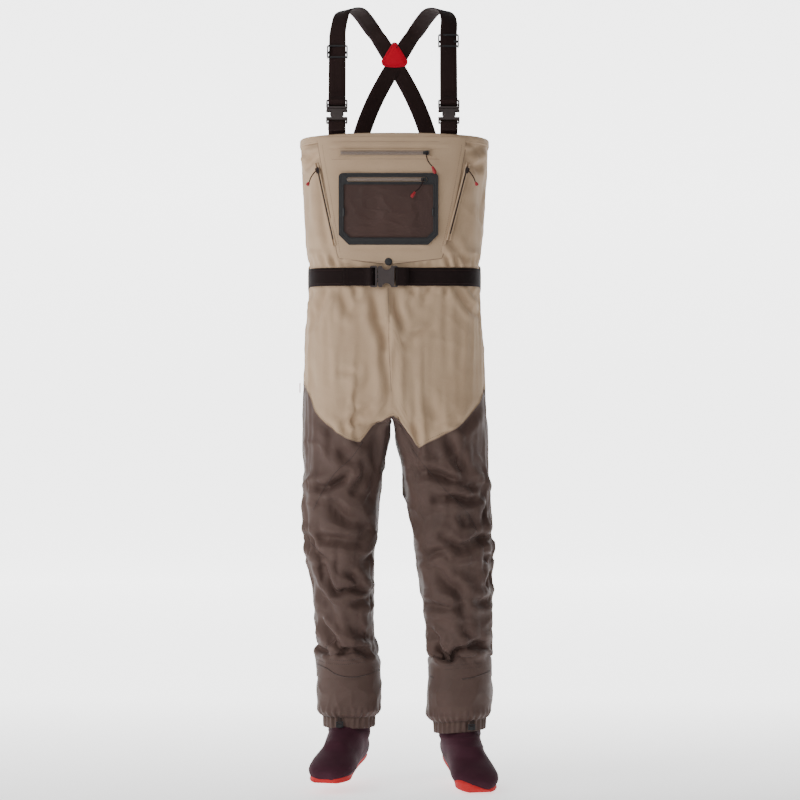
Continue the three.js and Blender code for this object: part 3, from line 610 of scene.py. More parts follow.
def simulate(points, faces):
    """Lets the cloth fall into its own wrinkles; returns where its points come to rest."""
    started = points.copy()
    start = points + 0.0
    noise_at = ripple(points * (1, 1, 1.6), 75, 3)[:, None]
    axis = points.copy()
    axis[:, 2] = 0
    outward = axis / np.maximum(np.linalg.norm(axis, axis=1), 1)[:, None]
    weights = hold_weights(points)
    start += outward * noise_at * 2.5 * (1 - weights)[:, None]
    cloth = add_mesh("cloth_in_simulation", start, faces, TAN)
    cloth.shape_key_add(name="Basis")
    cut = cloth.shape_key_add(name="cut")
    cut.data.foreach_set("co", place(cut_shape(points)).ravel())
    group = cloth.vertex_groups.new(name="held")
    for i, w in enumerate(weights):
        if w > 0.001:
            group.add([i], float(w), "REPLACE")
    sim = modifier(cloth, "CLOTH")
    settings = sim.settings
    settings.rest_shape_key = cut
    settings.vertex_group_mass = "held"
    settings.pin_stiffness = 1.0
    settings.quality = 6
    settings.mass = 0.25
    settings.tension_stiffness = settings.compression_stiffness = 25
    settings.shear_stiffness = 10
    settings.bending_stiffness = 0.2
    settings.tension_damping = settings.compression_damping = 12
    settings.bending_damping = 1
    settings.air_damping = 3
    sim.collision_settings.collision_quality = 2
    sim.collision_settings.distance_min = 0.003
    sim.point_cache.frame_start, sim.point_cache.frame_end = 1, SIM_FRAMES
    body = mannequin()
    scene = bpy.context.scene
    scene.frame_start, scene.frame_end = 1, SIM_FRAMES
    for number in range(1, SIM_FRAMES + 1):
        scene.frame_set(number)
    shown = cloth.evaluated_get(bpy.context.evaluated_depsgraph_get())
    co = np.empty(len(points) * 3)
    shown.data.vertices.foreach_get("co", co)
    settled = co.reshape(-1, 3) * 1000 + YOKE
    for piece in (cloth, body):
        bpy.data.objects.remove(piece)
    scene.frame_set(1)
    moved = settled - started
    size = np.linalg.norm(moved, axis=1)[:, None]
    cap = CLOTH_CAP * np.tanh(size / CLOTH_CAP) / np.maximum(size, 1e-6)
    return started + moved * cap


# ---- Folds ------------------------------------------------------------------------------------
# Creases on the front of the cloth: depth and width in mm, then the points (x, z) that one follows.
FOLDS = [
    (6, 8, [(-166, -48), (-183, -59), (-202, -77)]), (4, 7, [(-168, -19), (-186, -23), (-203, -31)]),
    (3, 6, [(-168, -46), (-192, -43), (-205, -40)]), (4, 8, [(157, -45), (177, -37), (202, -16)]),
    (4, 8, [(157, -54), (180, -71), (199, -62)]), (3, 6, [(154, -19), (180, -25)]),
    (4, 8, [(-166, -83), (-157, -182), (-142, -259)]), (3, 12, [(199, -68), (192, -166), (189, -253)]),
    (4, 9, [(114, -228), (129, -243), (149, -271)]), (5, 5, [(-175, -268), (-163, -296)]),
    (5, 5, [(-186, -268), (-176, -296)]), (5, 5, [(-157, -268), (-154, -296)]),
    (5, 5, [(-137, -268), (-128, -296)]), (5, 5, [(131, -268), (140, -296)]),
    (5, 5, [(115, -268), (122, -296)]), (5, 5, [(168, -268), (172, -296)]),
    (5, 5, [(180, -268), (183, -296)]), (5, 5, [(152, -268), (159, -296)]),
    (3, 6, [(-123, -285), (-82, -294)]), (3, 6, [(48, -293), (91, -285)]),
    (7, 10, [(-147, -336), (-163, -370), (-177, -413)]), (5, 7, [(-176, -336), (-183, -360)]),
    (4, 10, [(-125, -337), (-106, -373), (-97, -391), (-72, -382), (-69, -360)]),
    (7, 11, [(-48, -339), (-38, -397), (-20, -462)]), (6, 9, [(2, -340), (3, -379), (17, -419)]),
    (4, 8, [(35, -339), (48, -351)]), (4, 9, [(88, -336), (72, -348), (66, -370)]),
    (6, 8, [(137, -336), (159, -370), (192, -403)]), (5, 7, [(165, -336), (186, -363), (197, -391)]),
    (4, 6, [(115, -336), (112, -354)]), (3, 7, [(-82, -336), (-85, -357)]),
    (3, 7, [(35, -443), (66, -434), (82, -423)]),
    (8, 9, [(-17, -425), (-20, -493), (-14, -561), (-15, -613)]),
    (8, 8, [(0, -450), (-1, -524), (2, -616)]), (3, 7, [(-119, -524), (-82, -521)]),
    (5, 8, [(-108, -642), (-82, -620), (-57, -604)]), (3, 6, [(-116, -647), (-94, -659)]),
    (3, 6, [(-91, -635), (-63, -629)]), (3, 8, [(11, -465), (36, -459), (60, -444)]),
    (3, 7, [(42, -629), (49, -666)]), (3, 6, [(91, -647), (137, -629)]),
    (3, 11, [(73, -585), (91, -622), (82, -647)]), (4, 13, [(-45, -533), (-69, -564), (-97, -585)]),
    (3, 9, [(-190, -502), (-180, -561)]),
    (11, 9, [(-175, -775), (-150, -778), (-122, -766), (-98, -751)]),
    (9, 9, [(-71, -716), (-68, -747), (-91, -784)]), (8, 15, [(-152, -803), (-113, -843), (-82, -857)]),
    (8, 12, [(-185, -896), (-138, -892), (-79, -901)]),
    (5, 12, [(-138, -688), (-101, -709), (-85, -728)]),
    (6, 14, [(-42, -678), (-45, -740), (-54, -796)]), (6, 10, [(-57, -865), (-76, -899)]),
    (4, 10, [(-166, -632), (-141, -653), (-128, -678)]),
    (10, 10, [(42, -750), (82, -746), (126, -760), (169, -781)]),
    (10, 9, [(93, -804), (135, -799), (165, -808), (192, -801)]),
    (8, 11, [(115, -660), (135, -709), (160, -756), (187, -790)]),
    (7, 8, [(183, -767), (211, -807), (196, -856)]), (6, 7, [(146, -845), (158, -866)]),
    (10, 10, [(110, -887), (144, -907), (176, -893), (213, -887)]), (5, 9, [(160, -834), (188, -883)]),
    (5, 9, [(135, -647), (157, -641), (181, -604)]), (4, 14, [(45, -865), (76, -843), (104, -830)]),
    (6, 8, [(-197, -888), (-174, -921), (-149, -936)]),
    (12, 8, [(-157, -955), (-146, -988), (-129, -1013), (-98, -1005), (-45, -1015)]),
    (8, 9, [(-104, -967), (-85, -988), (-71, -1003)]),
    (6, 10, [(-177, -988), (-154, -1019), (-140, -1053), (-123, -1103)]),
    (8, 9, [(-89, -1033), (-43, -1026)]),
    (9, 8, [(-156, -1057), (-160, -1080), (-135, -1118), (-108, -1143)]),
    (8, 7, [(-123, -1148), (-91, -1137), (-56, -1150)]),
    (6, 9, [(-64, -946), (-48, -931), (-37, -910)]),
    (5, 12, [(-106, -1073), (-79, -1103), (-52, -1118)]), (5, 6, [(-171, -1141), (-140, -1146)]),
    (7, 9, [(50, -941), (93, -924), (144, -904)]), (10, 9, [(121, -933), (158, -919), (207, -894)]),
    (8, 12, [(89, -958), (112, -988), (144, -1015), (156, -1079)]), (8, 9, [(223, -967), (207, -1005)]),
    (7, 9, [(62, -1038), (106, -1046), (144, -1045)]),
    (12, 8, [(93, -1117), (100, -1147), (125, -1159), (145, -1138), (192, -1131)]),
    (6, 9, [(167, -1026), (196, -1034), (221, -1020)]), (6, 8, [(78, -1095), (93, -1118)]),
    (6, 10, [(154, -1088), (173, -1118), (215, -1138)]), (7, 9, [(196, -923), (219, -949)]),
]


def crease(points, facing, strokes, strength):
    """How far each point moves in along its normal: a valley on each stroke with a ridge beside it."""
    x, z = points[:, 0], points[:, 2]
    moved = np.zeros(len(points))
    for depth, width, path in strokes:
        path = smooth_path(np.array(path, float), 24) if len(path) > 2 else resample(path, 16)
        reach = 4.5 * width
        low, high = path.min(0) - reach, path.max(0) + reach
        near = np.flatnonzero((x > low[0]) & (x < high[0]) & (z > low[1]) & (z < high[1]) & (facing > 0))
        if not len(near):
            continue
        q = np.stack([x[near], z[near]], 1)
        best = np.full(len(near), 1e9)
        along = np.zeros(len(near))
        for i in range(len(path) - 1):
            a, b = path[i], path[i + 1]
            d = b - a
            t = np.clip(((q - a) @ d) / (d @ d), 0, 1)
            gap = np.linalg.norm(q - a - t[:, None] * d, axis=1)
            closer = gap < best
            best[closer] = gap[closer]
            along[closer] = (i + t[closer]) / (len(path) - 1)
        taper = np.sqrt(np.clip(np.sin(math.pi * np.clip(along, 0.04, 0.96)), 0, 1))
        valley = -np.exp(-((best / width) ** 2))
        ridge = 0.62 * np.exp(-(((best - 2.1 * width) / (1.15 * width)) ** 2))
        moved[near] += strength[near] * depth * taper * (valley + ridge) * facing[near]
    return moved


def sharp_noise(points, wavelength, seed):
    """Noise with sharp ridges and flat hollows, as stiff nylon crumples, from -1 to 1."""
    return 1 - 2 * np.abs(np.tanh(1.3 * ripple(points, wavelength, seed)))


def evaluated(piece):
    """A piece's points in garment mm, its normals and its faces, with its modifiers applied."""
    shown = piece.evaluated_get(bpy.context.evaluated_depsgraph_get())
    mesh = shown.to_mesh()
    co = np.empty(len(mesh.vertices) * 3)
    mesh.vertices.foreach_get("co", co)
    normals = np.empty(len(mesh.vertices) * 3)
    mesh.vertex_normals.foreach_get("vector", normals)
    faces = [tuple(p.vertices) for p in mesh.polygons]
    slots = np.array([p.material_index for p in mesh.polygons])
    shown.to_mesh_clear()
    return co.reshape(-1, 3) * 1000 + YOKE, normals.reshape(-1, 3), faces, slots


def subset(points, faces, wanted):
    """The points and faces of some of a mesh's faces."""
    kept = [faces[i] for i in wanted]
    used = sorted({v for face in kept for v in face})
    number = {v: i for i, v in enumerate(used)}
    return points[used], [[number[v] for v in face] for face in kept]


def dress_cloth(points, faces, part):
    """Subdivides the settled cloth and gives it its creases; returns points, normals, faces, part."""
    whole = add_mesh("whole_cloth", points, faces, TAN)
    for _ in range(2):
        whole.data.materials.append(TAN)
    whole.data.polygons.foreach_set("material_index", part.astype(np.int32))
    modifier(whole, "SUBSURF", levels=1, render_levels=1)
    points, normals, faces, slots = evaluated(whole)
    bpy.data.objects.remove(whole)
    x, y, z = points.T
    facing = smoothstep(0.05, 0.45, -normals[:, 1]) * (y < 0)
    free = 1 - smoothstep(-22, -6, z)
    free *= 1 - smoothstep(20, 6, np.abs(z - BELT_Z)) * 0.9
    edge = np.interp(z, [-285, -225, -60, 0], [104, 126, 160, 165])
    free *= 1 - 0.85 * smoothstep(-4, 16, edge - np.abs(x)) * (y < 0) * smoothstep(-292, -276, z)
    legs = smoothstep(-600, -760, z)
    moved = crease(points, facing, FOLDS, (1.3 + 0.3 * legs) * smoothstep(17, 26, np.abs(z - BELT_Z)))
    amount = 0.9 + 1.7 * legs
    moved += free * amount * sharp_noise(points * (1, 1, 1.7), 150, 11)
    moved += free * (0.35 + 0.5 * legs) * sharp_noise(points * (1, 1, 1.3), 62, 12)
    behind = smoothstep(0.0, 0.5, normals[:, 1])
    bends = np.interp(z, [-1200, -1100, -960, -860, -760, -650, -560, -420, -340],
                      [3, 4, 5.5, 4, 2, 2.5, 3, 1.5, 2])
    moved += behind * free * bends * sharp_noise(points * (0.45, 0.45, 2.4), 130, 13)
    gather = smoothstep(52, 24, np.abs(z - BELT_Z)) * smoothstep(20, 27, np.abs(z - BELT_Z))
    around = np.arctan2(y, x)
    pleats = np.sin(around * 46 + 3 * np.sin(around * 5)) * (0.6 + 0.4 * np.sin(around * 11 + 1))
    moved += gather * 2.6 * pleats * (1 - 0.5 * facing)
    moved = np.clip(moved, -17, 8) * (0.2 + 0.8 * smoothstep(CUFF_Z + 8, CUFF_Z + 45, z))
    return points + normals * moved[:, None], normals, faces, slots


# ---- Small parts ------------------------------------------------------------------------------
def frames_along(path, normals):
    """Tangent, across and outward direction at each point of a path."""
    path = np.asarray(path, float)
    tangent = np.gradient(path, axis=0)
    tangent /= np.maximum(np.linalg.norm(tangent, axis=1), 1e-9)[:, None]
    normals = np.broadcast_to(np.asarray(normals, float), path.shape)
    out = normals - (normals * tangent).sum(1)[:, None] * tangent
    out /= np.maximum(np.linalg.norm(out, axis=1), 1e-9)[:, None]
    return tangent, np.cross(tangent, out), out


def sweep(path, normals, profile, closed=False):
    """Points and faces of a profile of (across, out) carried along a path, with capped ends."""
    path = np.asarray(path, float)
    _, across, out = frames_along(path, normals)
    profile = np.asarray(profile, float)
    rings = path[:, None] + profile[None, :, :1] * across[:, None] + profile[None, :, 1:] * out[:, None]
    count = len(profile)
    faces = grid_faces(len(path), count, closed=True)
    if closed:
        last = (len(path) - 1) * count
        for c in range(count):
            d = (c + 1) % count
            faces.append((last + c, c, d, last + d))
    else:
        faces.append(tuple(range(count)))
        faces.append(tuple(range((len(path) - 1) * count, len(path) * count))[::-1])
    return rings.reshape(-1, 3), faces


def join(parts):
    """Several (points, faces) as one."""
    points, faces, offset = [], [], 0
    for p, f in parts:
        points.append(np.asarray(p, float))
        faces.extend([tuple(int(i) + offset for i in face) for face in f])
        offset += len(p)
    return np.vstack(points), faces


def circle(radius, count=8):
    t = np.linspace(0, 2 * math.pi, count, endpoint=False)
    return np.stack([radius * np.cos(t), radius * np.sin(t)], 1)


def strap_profile(width, thick):
    """Webbing's section: flat faces, rounded edges and a slight crown."""
    w, h = width / 2, thick / 2
    half = [(-w, -0.35 * h), (-w + 0.8, -h), (-0.5 * w, -h * 1.12), (0, -h * 1.16), (0.5 * w, -h * 1.12),
            (w - 0.8, -h), (w, -0.35 * h)]
    return half + [(x, -y) for x, y in reversed(half)]


def stitches(paths, normals, length=3.2, gap=1.5, width=0.9, proud=0.5):
    """Rows of raised stitches along paths."""
    parts = []
    for path, normal in zip(paths, normals):
        path = np.asarray(path, float)
        run = np.linalg.norm(np.diff(path, axis=0), axis=1).sum()
        count = max(2, int(run / (length + gap)))
        spots = resample(path, 2 * count + 1)
        if np.ndim(normal) == 2:
            normal_at = resample(np.asarray(normal, float), 2 * count + 1)
        else:
            normal_at = np.broadcast_to(normal, spots.shape)
        _, across, out = frames_along(spots, normal_at)
        share = length / (length + gap)
        for i in range(0, 2 * count, 2):
            a, b = spots[i], spots[i] + (spots[i + 2] - spots[i]) * share
            o, u = out[i], across[i] * width / 2
            low, high = -0.25 * o, proud * o
            parts.append((
                np.array([a - u + low, a + u + low, b + u + low, b - u + low,
                          a + (b - a) * 0.2 - u * 0.5 + high, a + (b - a) * 0.2 + u * 0.5 + high,
                          a + (b - a) * 0.8 + u * 0.5 + high, a + (b - a) * 0.8 - u * 0.5 + high]),
                [(0, 1, 2, 3), (4, 7, 6, 5), (0, 4, 5, 1), (1, 5, 6, 2), (2, 6, 7, 3), (3, 7, 4, 0)]))
    return join(parts)


class Surface:
    """A cloth's surface, for laying seams on."""

    def __init__(self, points, faces):
        self.tree = BVHTree.FromPolygons([tuple(p) for p in points], faces)

    def from_front(self, x, z, y=-400):
        hit, normal, _, _ = self.tree.ray_cast(Vector((x, y, z)), Vector((0, 1, 0)))
        return (None, None) if hit is None else (np.array(hit), np.array(normal))

    def drape(self, path, count, lift=0.3):
        """A path of (x, z) laid on the front of the cloth, and the outward normals there."""
        flat = smooth_path(path, count) if len(path) > 2 else resample(path, count)
        spots, normals = [], []
        for x, z in flat:
            hit, normal = self.from_front(x, z)
            if hit is None:
                continue
            if normal[1] > 0:
                normal = -normal
            spots.append(hit + normal * lift)
            normals.append(normal)
        return np.array(spots), np.array(normals)


def rides(piece, body, *nodes):
    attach(piece, body)
    if nodes:
        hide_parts(*nodes)
    return piece


# ---- Places shared with the CAD model ----------------------------------------------------------
FRONT_SLOPE = 0.0945
BIB_TOP = np.array([-13.0, -165.0, -45.0])
BIB_LEAN = math.atan(FRONT_SLOPE)
STRAP_X = {"right": -126, "left": 119.5}
STRAP_LEAN = math.radians(15.4)
STRAP_FOOT_Y = -163
STRAP_UP = np.array([0, math.sin(STRAP_LEAN), math.cos(STRAP_LEAN)])
STRAP_OUT = np.array([0, -math.cos(STRAP_LEAN), math.sin(STRAP_LEAN)])
BUCKLE_MOUTH, STRAP_FEMALE, BAR, FOLD, AHEAD = 52, 33, 3, 3.4, 6
BELT = {"a": 191.5, "f": 141.5, "b": 129.5, "mouth": -36, "female": 44}
ANKLES = {"right": ((-101, 2, -1322), 7, -15), "left": ((147, 2, -1330), 11, 13)}
GUARDS = {"right": (-102, -1292), "left": (147, -1298)}
ANKLE_HEIGHT = 72
OVER_SHOULDER = np.array([
    (-121, -84, 256, 0, -1, 0.5), (-115, -54, 279, -0.25, -0.7, 0.9), (-101, -21, 290, -0.3, -0.2, 1),
    (-84, 13, 291, -0.25, 0.3, 1), (-69, 49, 280, -0.1, 0.7, 0.8), (-50, 88, 258, 0, 1, 0.5),
    (-33, 99, 236, 0, 1, 0.5), (-14, 113.5, 207, 0, 1, 0.5), (6, 129, 176, 0, 1, 0.5),
    (22, 142, 150, 0, 1, 0.5), (40, 153, 118, 0, 1, 0.2), (56, 159, 84, 0, 1, 0.08),
    (70, 161, 48, 0, 1, 0), (81, 157, 10, 0, 1, 0), (88, 151.5, -34, 0, 1, 0)], float)
FOOT = np.array([  # along the foot, half width, top above the sole
    (68, 14, 36), (60, 30, 56), (30, 37, 78), (0, 40, 84), (-40, 41, 80), (-80, 45, 67),
    (-125, 52, 53), (-165, 52, 43), (-195, 38, 32), (-207, 18, 22)], float)
WARMERS = {
    "right_warmer_zip": (-1, (168, -72), (133, -232), 5.0),
    "left_warmer_zip": (1, (158, -72), (120, -220), 7.4),
}


def front_y(x, z):
    """The front of the torso at x and z."""
    a, front, _, sharp, _ = fields(TORSO, z)
    return -front * (1 - np.minimum(1, np.abs(x / a)) ** sharp) ** (1 / sharp)


def on_bib(points):
    """Points in the bib's leaning plane (x, y, z) to garment mm."""
    p = np.atleast_2d(np.asarray(points, float))
    c, s = math.cos(BIB_LEAN), math.sin(BIB_LEAN)
    return np.stack([p[:, 0], p[:, 1] * c - p[:, 2] * s, p[:, 1] * s + p[:, 2] * c], 1) + BIB_TOP


BIB_OUT = np.array([0, -math.cos(BIB_LEAN), -math.sin(BIB_LEAN)])


def warmer_lines(name):
    """A hand-warmer zip's ends, and its down, outward and across directions."""
    side, (x0, z0), (x1, z1), proud = WARMERS[name]
    top = np.array([side * x0, 0, z0], float)
    foot = np.array([side * x1, 0, z1], float)
    top[1], foot[1] = front_y(top[0], z0), front_y(foot[0], z1)
    down = (foot - top) / np.linalg.norm(foot - top)
    out = np.array([side * 0.42, -1, 0])
    out -= out @ down * down
    out /= np.linalg.norm(out)
    return top + proud * out, foot + proud * out, down, out, np.cross(down, out)


def pull_points(start, reach, share, bend, turn=0.0):
    """A pull cord's route from its slider down to its tip."""
    reach = np.array(reach, float)
    end = reach * share
    side = np.array([-reach[1], reach[0]]) / np.linalg.norm(reach) * bend
    local = np.array([(0, -6.6, 0), (end[0] * 0.35 + side[0], -6.6, end[1] * 0.35 + side[1]),
                      (end[0] * 0.7 + side[0], -6.6, end[1] * 0.7 + side[1]), (end[0], -6.6, end[1])])
    c, s = math.cos(turn), math.sin(turn)
    turned = np.stack([local[:, 0] * c - local[:, 1] * s, local[:, 0] * s + local[:, 1] * c, local[:, 2]], 1)
    return smooth_path(turned + start, 18)


def add_pull_cord(name, start, reach, share, bend, turn=0.0):
    path = place(pull_points(start, reach, share, bend, turn))
    curve = bpy.data.curves.new(name + "_line", "CURVE")
    curve.dimensions = "3D"
    curve.bevel_depth = 0.0012
    curve.bevel_resolution = 3
    spline = curve.splines.new("POLY")
    spline.points.add(len(path) - 1)
    for point, at in zip(spline.points, path):
        point.co = (*at, 1)
    curve.materials.append(STRAP)
    piece = bpy.data.objects.new(name + "_line", curve)
    bpy.context.scene.collection.objects.link(piece)
    rides(piece, name, name + "_cord")


def add_pull_cords():
    chest = on_bib([(90 - 8, -6.4, 1)])[0]
    pocket = on_bib([(85 - 8, -7.6, -57)])[0]
    add_pull_cord("chest_zip_pull", chest, (21, -46), 0.65, -3)
    add_pull_cord("pocket_zip_pull", pocket, (-27, -40), 0.68, 3)
    for name, (side, _, _, _) in WARMERS.items():
        top, _, down, out, _ = warmer_lines(name)
        start = top + 1.2 * out + 9 * down
        add_pull_cord(name + "_pull", start, (side * 23, -33), 0.76, side * 2, side * math.atan(0.42))


# ---- Webbing ----------------------------------------------------------------------------------
def strap_point(side, distance, ahead=0.0):
    return np.array([STRAP_X[side], STRAP_FOOT_Y, 0]) + STRAP_UP * distance + STRAP_OUT * ahead


def fold_path(bar, along, out, reach, radius):
    """Webbing along one face of a bar and round it."""
    spots = [(-reach, radius), (-reach / 2, radius), (0, radius)]
    for degrees in (70, 45, 20, 0, -20, -45, -70):
        e = math.radians(degrees)
        spots.append((radius * math.cos(e), radius * math.sin(e)))
    spots.append((0, -radius))
    return [bar + along * u + out * w for u, w in spots]


def ribbon(name, path, across, width, thick, material):
    """Webbing along a path, its width lying along the given directions."""
    path = np.asarray(path, float)
    across = np.broadcast_to(np.asarray(across, float), path.shape)
    tangent = np.gradient(path, axis=0)
    tangent /= np.linalg.norm(tangent, axis=1)[:, None]
    out = np.cross(tangent, across)
    points, faces = sweep(path, out, strap_profile(width, thick))
    return add_mesh(name, points, faces, material)


def suspender_path(side):
    """The middle of a suspender from its buckle over the shoulder to the back hem, and its normals."""
    sign = -1 if side == "right" else 1
    lift = 1.5 if side == "right" else -1.5
    rows = OVER_SHOULDER * (-sign, 1, 1, -sign, 1, 1)
    front = [strap_point(side, d) for d in (BUCKLE_MOUTH + 3, 90, 125, 160, 195, 230)]
    over = smooth_path(np.vstack([[strap_point(side, 195)], [strap_point(side, 230)], rows[:, :3]]), 150)
    outs = smooth_path(np.vstack([[STRAP_OUT], [STRAP_OUT], rows[:, 3:]]), 150)
    start = int(np.argmin(np.linalg.norm(over - front[-1], axis=1))) + 1
    t = np.linspace(0, 1, len(over))[:, None]
    raise_by = lift * smoothstep(0.18, 0.38, t)
    outs = outs / np.linalg.norm(outs, axis=1)[:, None]
    over = over + outs * raise_by
    path = np.vstack([front, over[start:]])
    normals = np.vstack([np.tile(STRAP_OUT, (len(front), 1)), outs[start:]])
    return path, normals


def add_suspenders():
    for side in ("right", "left"):
        path, normals = suspender_path(side)
        path, normals = resample(path, 170), resample(normals, 170)
        points, faces = sweep(path, normals, strap_profile(WEBBING, 2.2))
        rides(add_mesh(side + "_suspender_webbing", points, faces, STRAP), "waders", side + "_suspender")
        # Two ribs woven near the edges.
        _, across, out = frames_along(path, normals)
        for k, offset in enumerate((-15.5, 15.5)):
            p, f = sweep(path + across * offset + out * 1.25, out, circle(0.35, 6))
            rides(add_mesh(f"{side}_suspender_rib_{k}", p, f, STRAP_EDGE), "waders")
        bar = strap_point(side, BUCKLE_MOUTH - STRAP_FEMALE + BAR / 2, AHEAD)
        tab = fold_path(bar, STRAP_UP, STRAP_OUT, 18, FOLD)
        inside = front_y(abs(bar[0]) + WEBBING / 2, -16) + 8.4
        tab += [np.array([bar[0], inside, z]) for z in (5, -12, -30)]
        piece = ribbon(side + "_strap_anchor", smooth_path(tab, 40), (1, 0, 0), WEBBING, 2.2, STRAP)
        rides(piece, "waders", side + "_strap_tab")
        # The free end lies on the strap above the buckle and turns over the ladder's front bar.
        wrap = [strap_point(side, d, a) for d, a in
                ((92, 3.1), (88, 3.3), (84, 4.2), (78, 8.5), (72.5, 12.1), (69, 11.4), (65.5, 7.2), (63, 5))]
        piece = ribbon(side + "_strap_free_end", smooth_path(wrap, 44), (1, 0, 0), WEBBING, 1.9, STRAP)
        rides(piece, side + "_strap_buckle_plug")


def belt_path():
    bar = np.array([BELT["mouth"] + BELT["female"] - BAR / 2, -BELT["f"] - AHEAD, BELT_Z])
    path = fold_path(bar, np.array([-1.0, 0, 0]), np.array([0, -1.0, 0]), 26, FOLD)
    for t in -math.pi * 0.39 + np.linspace(0, math.pi * 1.78, 90):
        back = math.sin(t) > 0
        x = BELT["a"] * math.copysign(abs(math.cos(t)) ** (2 / (2.6 if back else 4)), math.cos(t))
        n = 2.6 if back else 4
        deep = BELT["b"] if back else -BELT["f"]
        y = deep * (1 - min(1, abs(x / BELT["a"])) ** n) ** (1 / n)
        path.append(np.array([x, y, BELT_Z]))
    path.append(np.array([-90, -BELT["f"], BELT_Z]))
    path.append(np.array([BELT["mouth"] - 3, -BELT["f"], BELT_Z]))
    return np.array(path)


def add_belt():
    path = belt_path()
    head, tail = path[:11], resample(path[10:], 190)
    path = np.vstack([head, tail[1:]])
    piece = ribbon("belt_strap", path, (0, 0, 1), BELT_WIDTH, 2.2, BELTING)
    rides(piece, "waders", "belt_webbing")
    tangent = np.gradient(path, axis=0)
    out = np.cross(tangent, (0, 0, 1.0))
    for k, dz in enumerate((-14.5, 14.5)):
        p, f = sweep(path + np.array([0, 0, dz]) + out / np.linalg.norm(out, axis=1)[:, None] * 1.2,
                     out, circle(0.4, 6))
        rides(add_mesh(f"belt_rib_{k}", p, f, STRAP_EDGE), "waders")
    front = -BELT["f"]
    wrap = [(-112, front - 2.5), (-90, front - 2.5), (-70, front - 2.6), (-62, front - 4.2),
            (-57.5, front - 8),
            (-53.5, front - 12), (-50, front - 11.6), (-47, front - 7.5), (-44.6, front - 5.4)]
    path = smooth_path([(x, y, BELT_Z) for x, y in wrap], 40)
    piece = ribbon("belt_free_end", path, (0, 0, 1), BELT_WIDTH - 1, 1.9, BELTING)
    rides(piece, "belt_buckle_plug")
    seam = [[(-104, front - 3.6, BELT_Z + dz) for dz in (-17, 17)]]
    p, f = stitches(seam, [np.array([0, -1, 0])], 2.6, 1.2)
    rides(add_mesh("belt_end_stitches", p, f, STRAP_EDGE), "belt_buckle_plug")
    for name, degrees in (("left_belt_loop", 8), ("back_belt_loop", 90), ("right_belt_loop", 172)):
        t = math.radians(degrees)
        x = 0 if degrees == 90 else BELT["a"] * math.copysign(abs(math.cos(t)) ** (2 / 2.6), math.cos(t))
        y = BELT["b"] * (1 - min(1, abs(x / BELT["a"])) ** 2.6) ** (1 / 2.6)
        turn = math.pi if degrees == 90 else math.copysign(math.radians(97), x)
        local = [(0, -0.4, -31), (0, -2.2, -28.5), (0, -3.2, -22), (0, -3.5, -8), (0, -3.5, 8), (0, -3.2, 22),
                 (0, -2.2, 28.5), (0, -0.4, 31)]
        c, s = math.cos(turn), math.sin(turn)
        path = [(x + px * c - py * s, y + px * s + py * c, BELT_Z + pz) for px, py, pz in local]
        piece = ribbon(name + "_tape", smooth_path(path, 30), (c, s, 0), 20, 1.5, TAN)
        rides(piece, "waders", name)


# ---- Bib, pocket and zips ---------------------------------------------------------------------
BIB_EDGES = {  # the bib's outline: height, then x of its right and left edges
    "z": [-9, -31, -110, -200, -263, -274, -287], "right": [-168, -167, -153, -137, -126, -122, -14],
    "left": [157, 156.5, 142, 124, 108.6, 104, -10]}


def bib_lift(x, z):
    """How far the bib stands off the chest at x and z: its pleats, fold and hollows."""
    lift = 2.6 + 0.4 * ripple(np.stack([x, z * 0, z], -1).reshape(-1, 3), 90, 21).reshape(x.shape)
    lift += 1.3 * np.exp(-(((z + 27) / 3.5) ** 2)) * smoothstep(-150, -130, x) * smoothstep(125, 105, x)
    lift -= 1.0 * np.exp(-(((z + 33) / 3) ** 2)) * smoothstep(-150, -130, x) * smoothstep(125, 105, x)
    lift += 2.8 * np.exp(-(((z + 244) / 4) ** 2)) * smoothstep(-105, -70, x) * smoothstep(80, 45, x)
    lift -= 1.6 * np.exp(-(((z + 252) / 5) ** 2)) * smoothstep(-105, -70, x) * smoothstep(80, 45, x)
    lift += 1.1 * np.exp(-(((z + 70) / 9) ** 2)) * smoothstep(-120, -90, x) * smoothstep(110, 80, x)
    return lift


def add_bib():
    """The front panel, a second layer of the chest with a turned and stitched edge, and a darker tan line
    along its sides and foot as painted shade.
    """
    across = np.linspace(0, 1, 70)
    heights = np.concatenate([np.linspace(-9, -262, 90), np.linspace(-264, -286, 10)])
    rows = []
    for z in heights:
        keys = -np.array(BIB_EDGES["z"], float)
        left, right = (np.interp(-z, keys, BIB_EDGES[k]) for k in ("right", "left"))
        x = left + (right - left) * across
        zz = np.full_like(x, z)
        y = front_y(x, zz) - bib_lift(x, zz)
        rows.append(np.stack([x, y, zz], 1))
    grid = np.array(rows)
    points, faces = grid.reshape(-1, 3), grid_faces(len(heights), len(across))
    piece = add_mesh("bib_cloth", points, faces, TAN)
    modifier(piece, "SOLIDIFY", thickness=0.0016, offset=0)
    modifier(piece, "BEVEL", width=0.0005, segments=2, limit_method="ANGLE", angle_limit=math.radians(40))
    rides(piece, "waders", "bib_panel")
    out = np.array([0, -1.0, 0])
    left = grid[6:90, 2] + out * 1.0
    right = grid[6:90, -3] + out * 1.0
    bottom = grid[-3, 2:-2] + out * 1.0
    p, f = stitches([left, right, bottom], [out, out, out], 3, 1.4, 0.8, 0.35)
    rides(add_mesh("bib_stitches", p, f, TAN_DARK), "waders")
    # Beads along both sides and the foot, in a darker tan: painted shade along the bib's edge.
    for k, line in enumerate((grid[4:, 0], grid[4:, -1], grid[-1, 1:-1])):
        p, f = sweep(line + out * 0.4, out, circle(0.7, 6))
        rides(add_mesh(f"bib_edge_{k}", p, f, BIB_EDGE_SHADE), "waders")


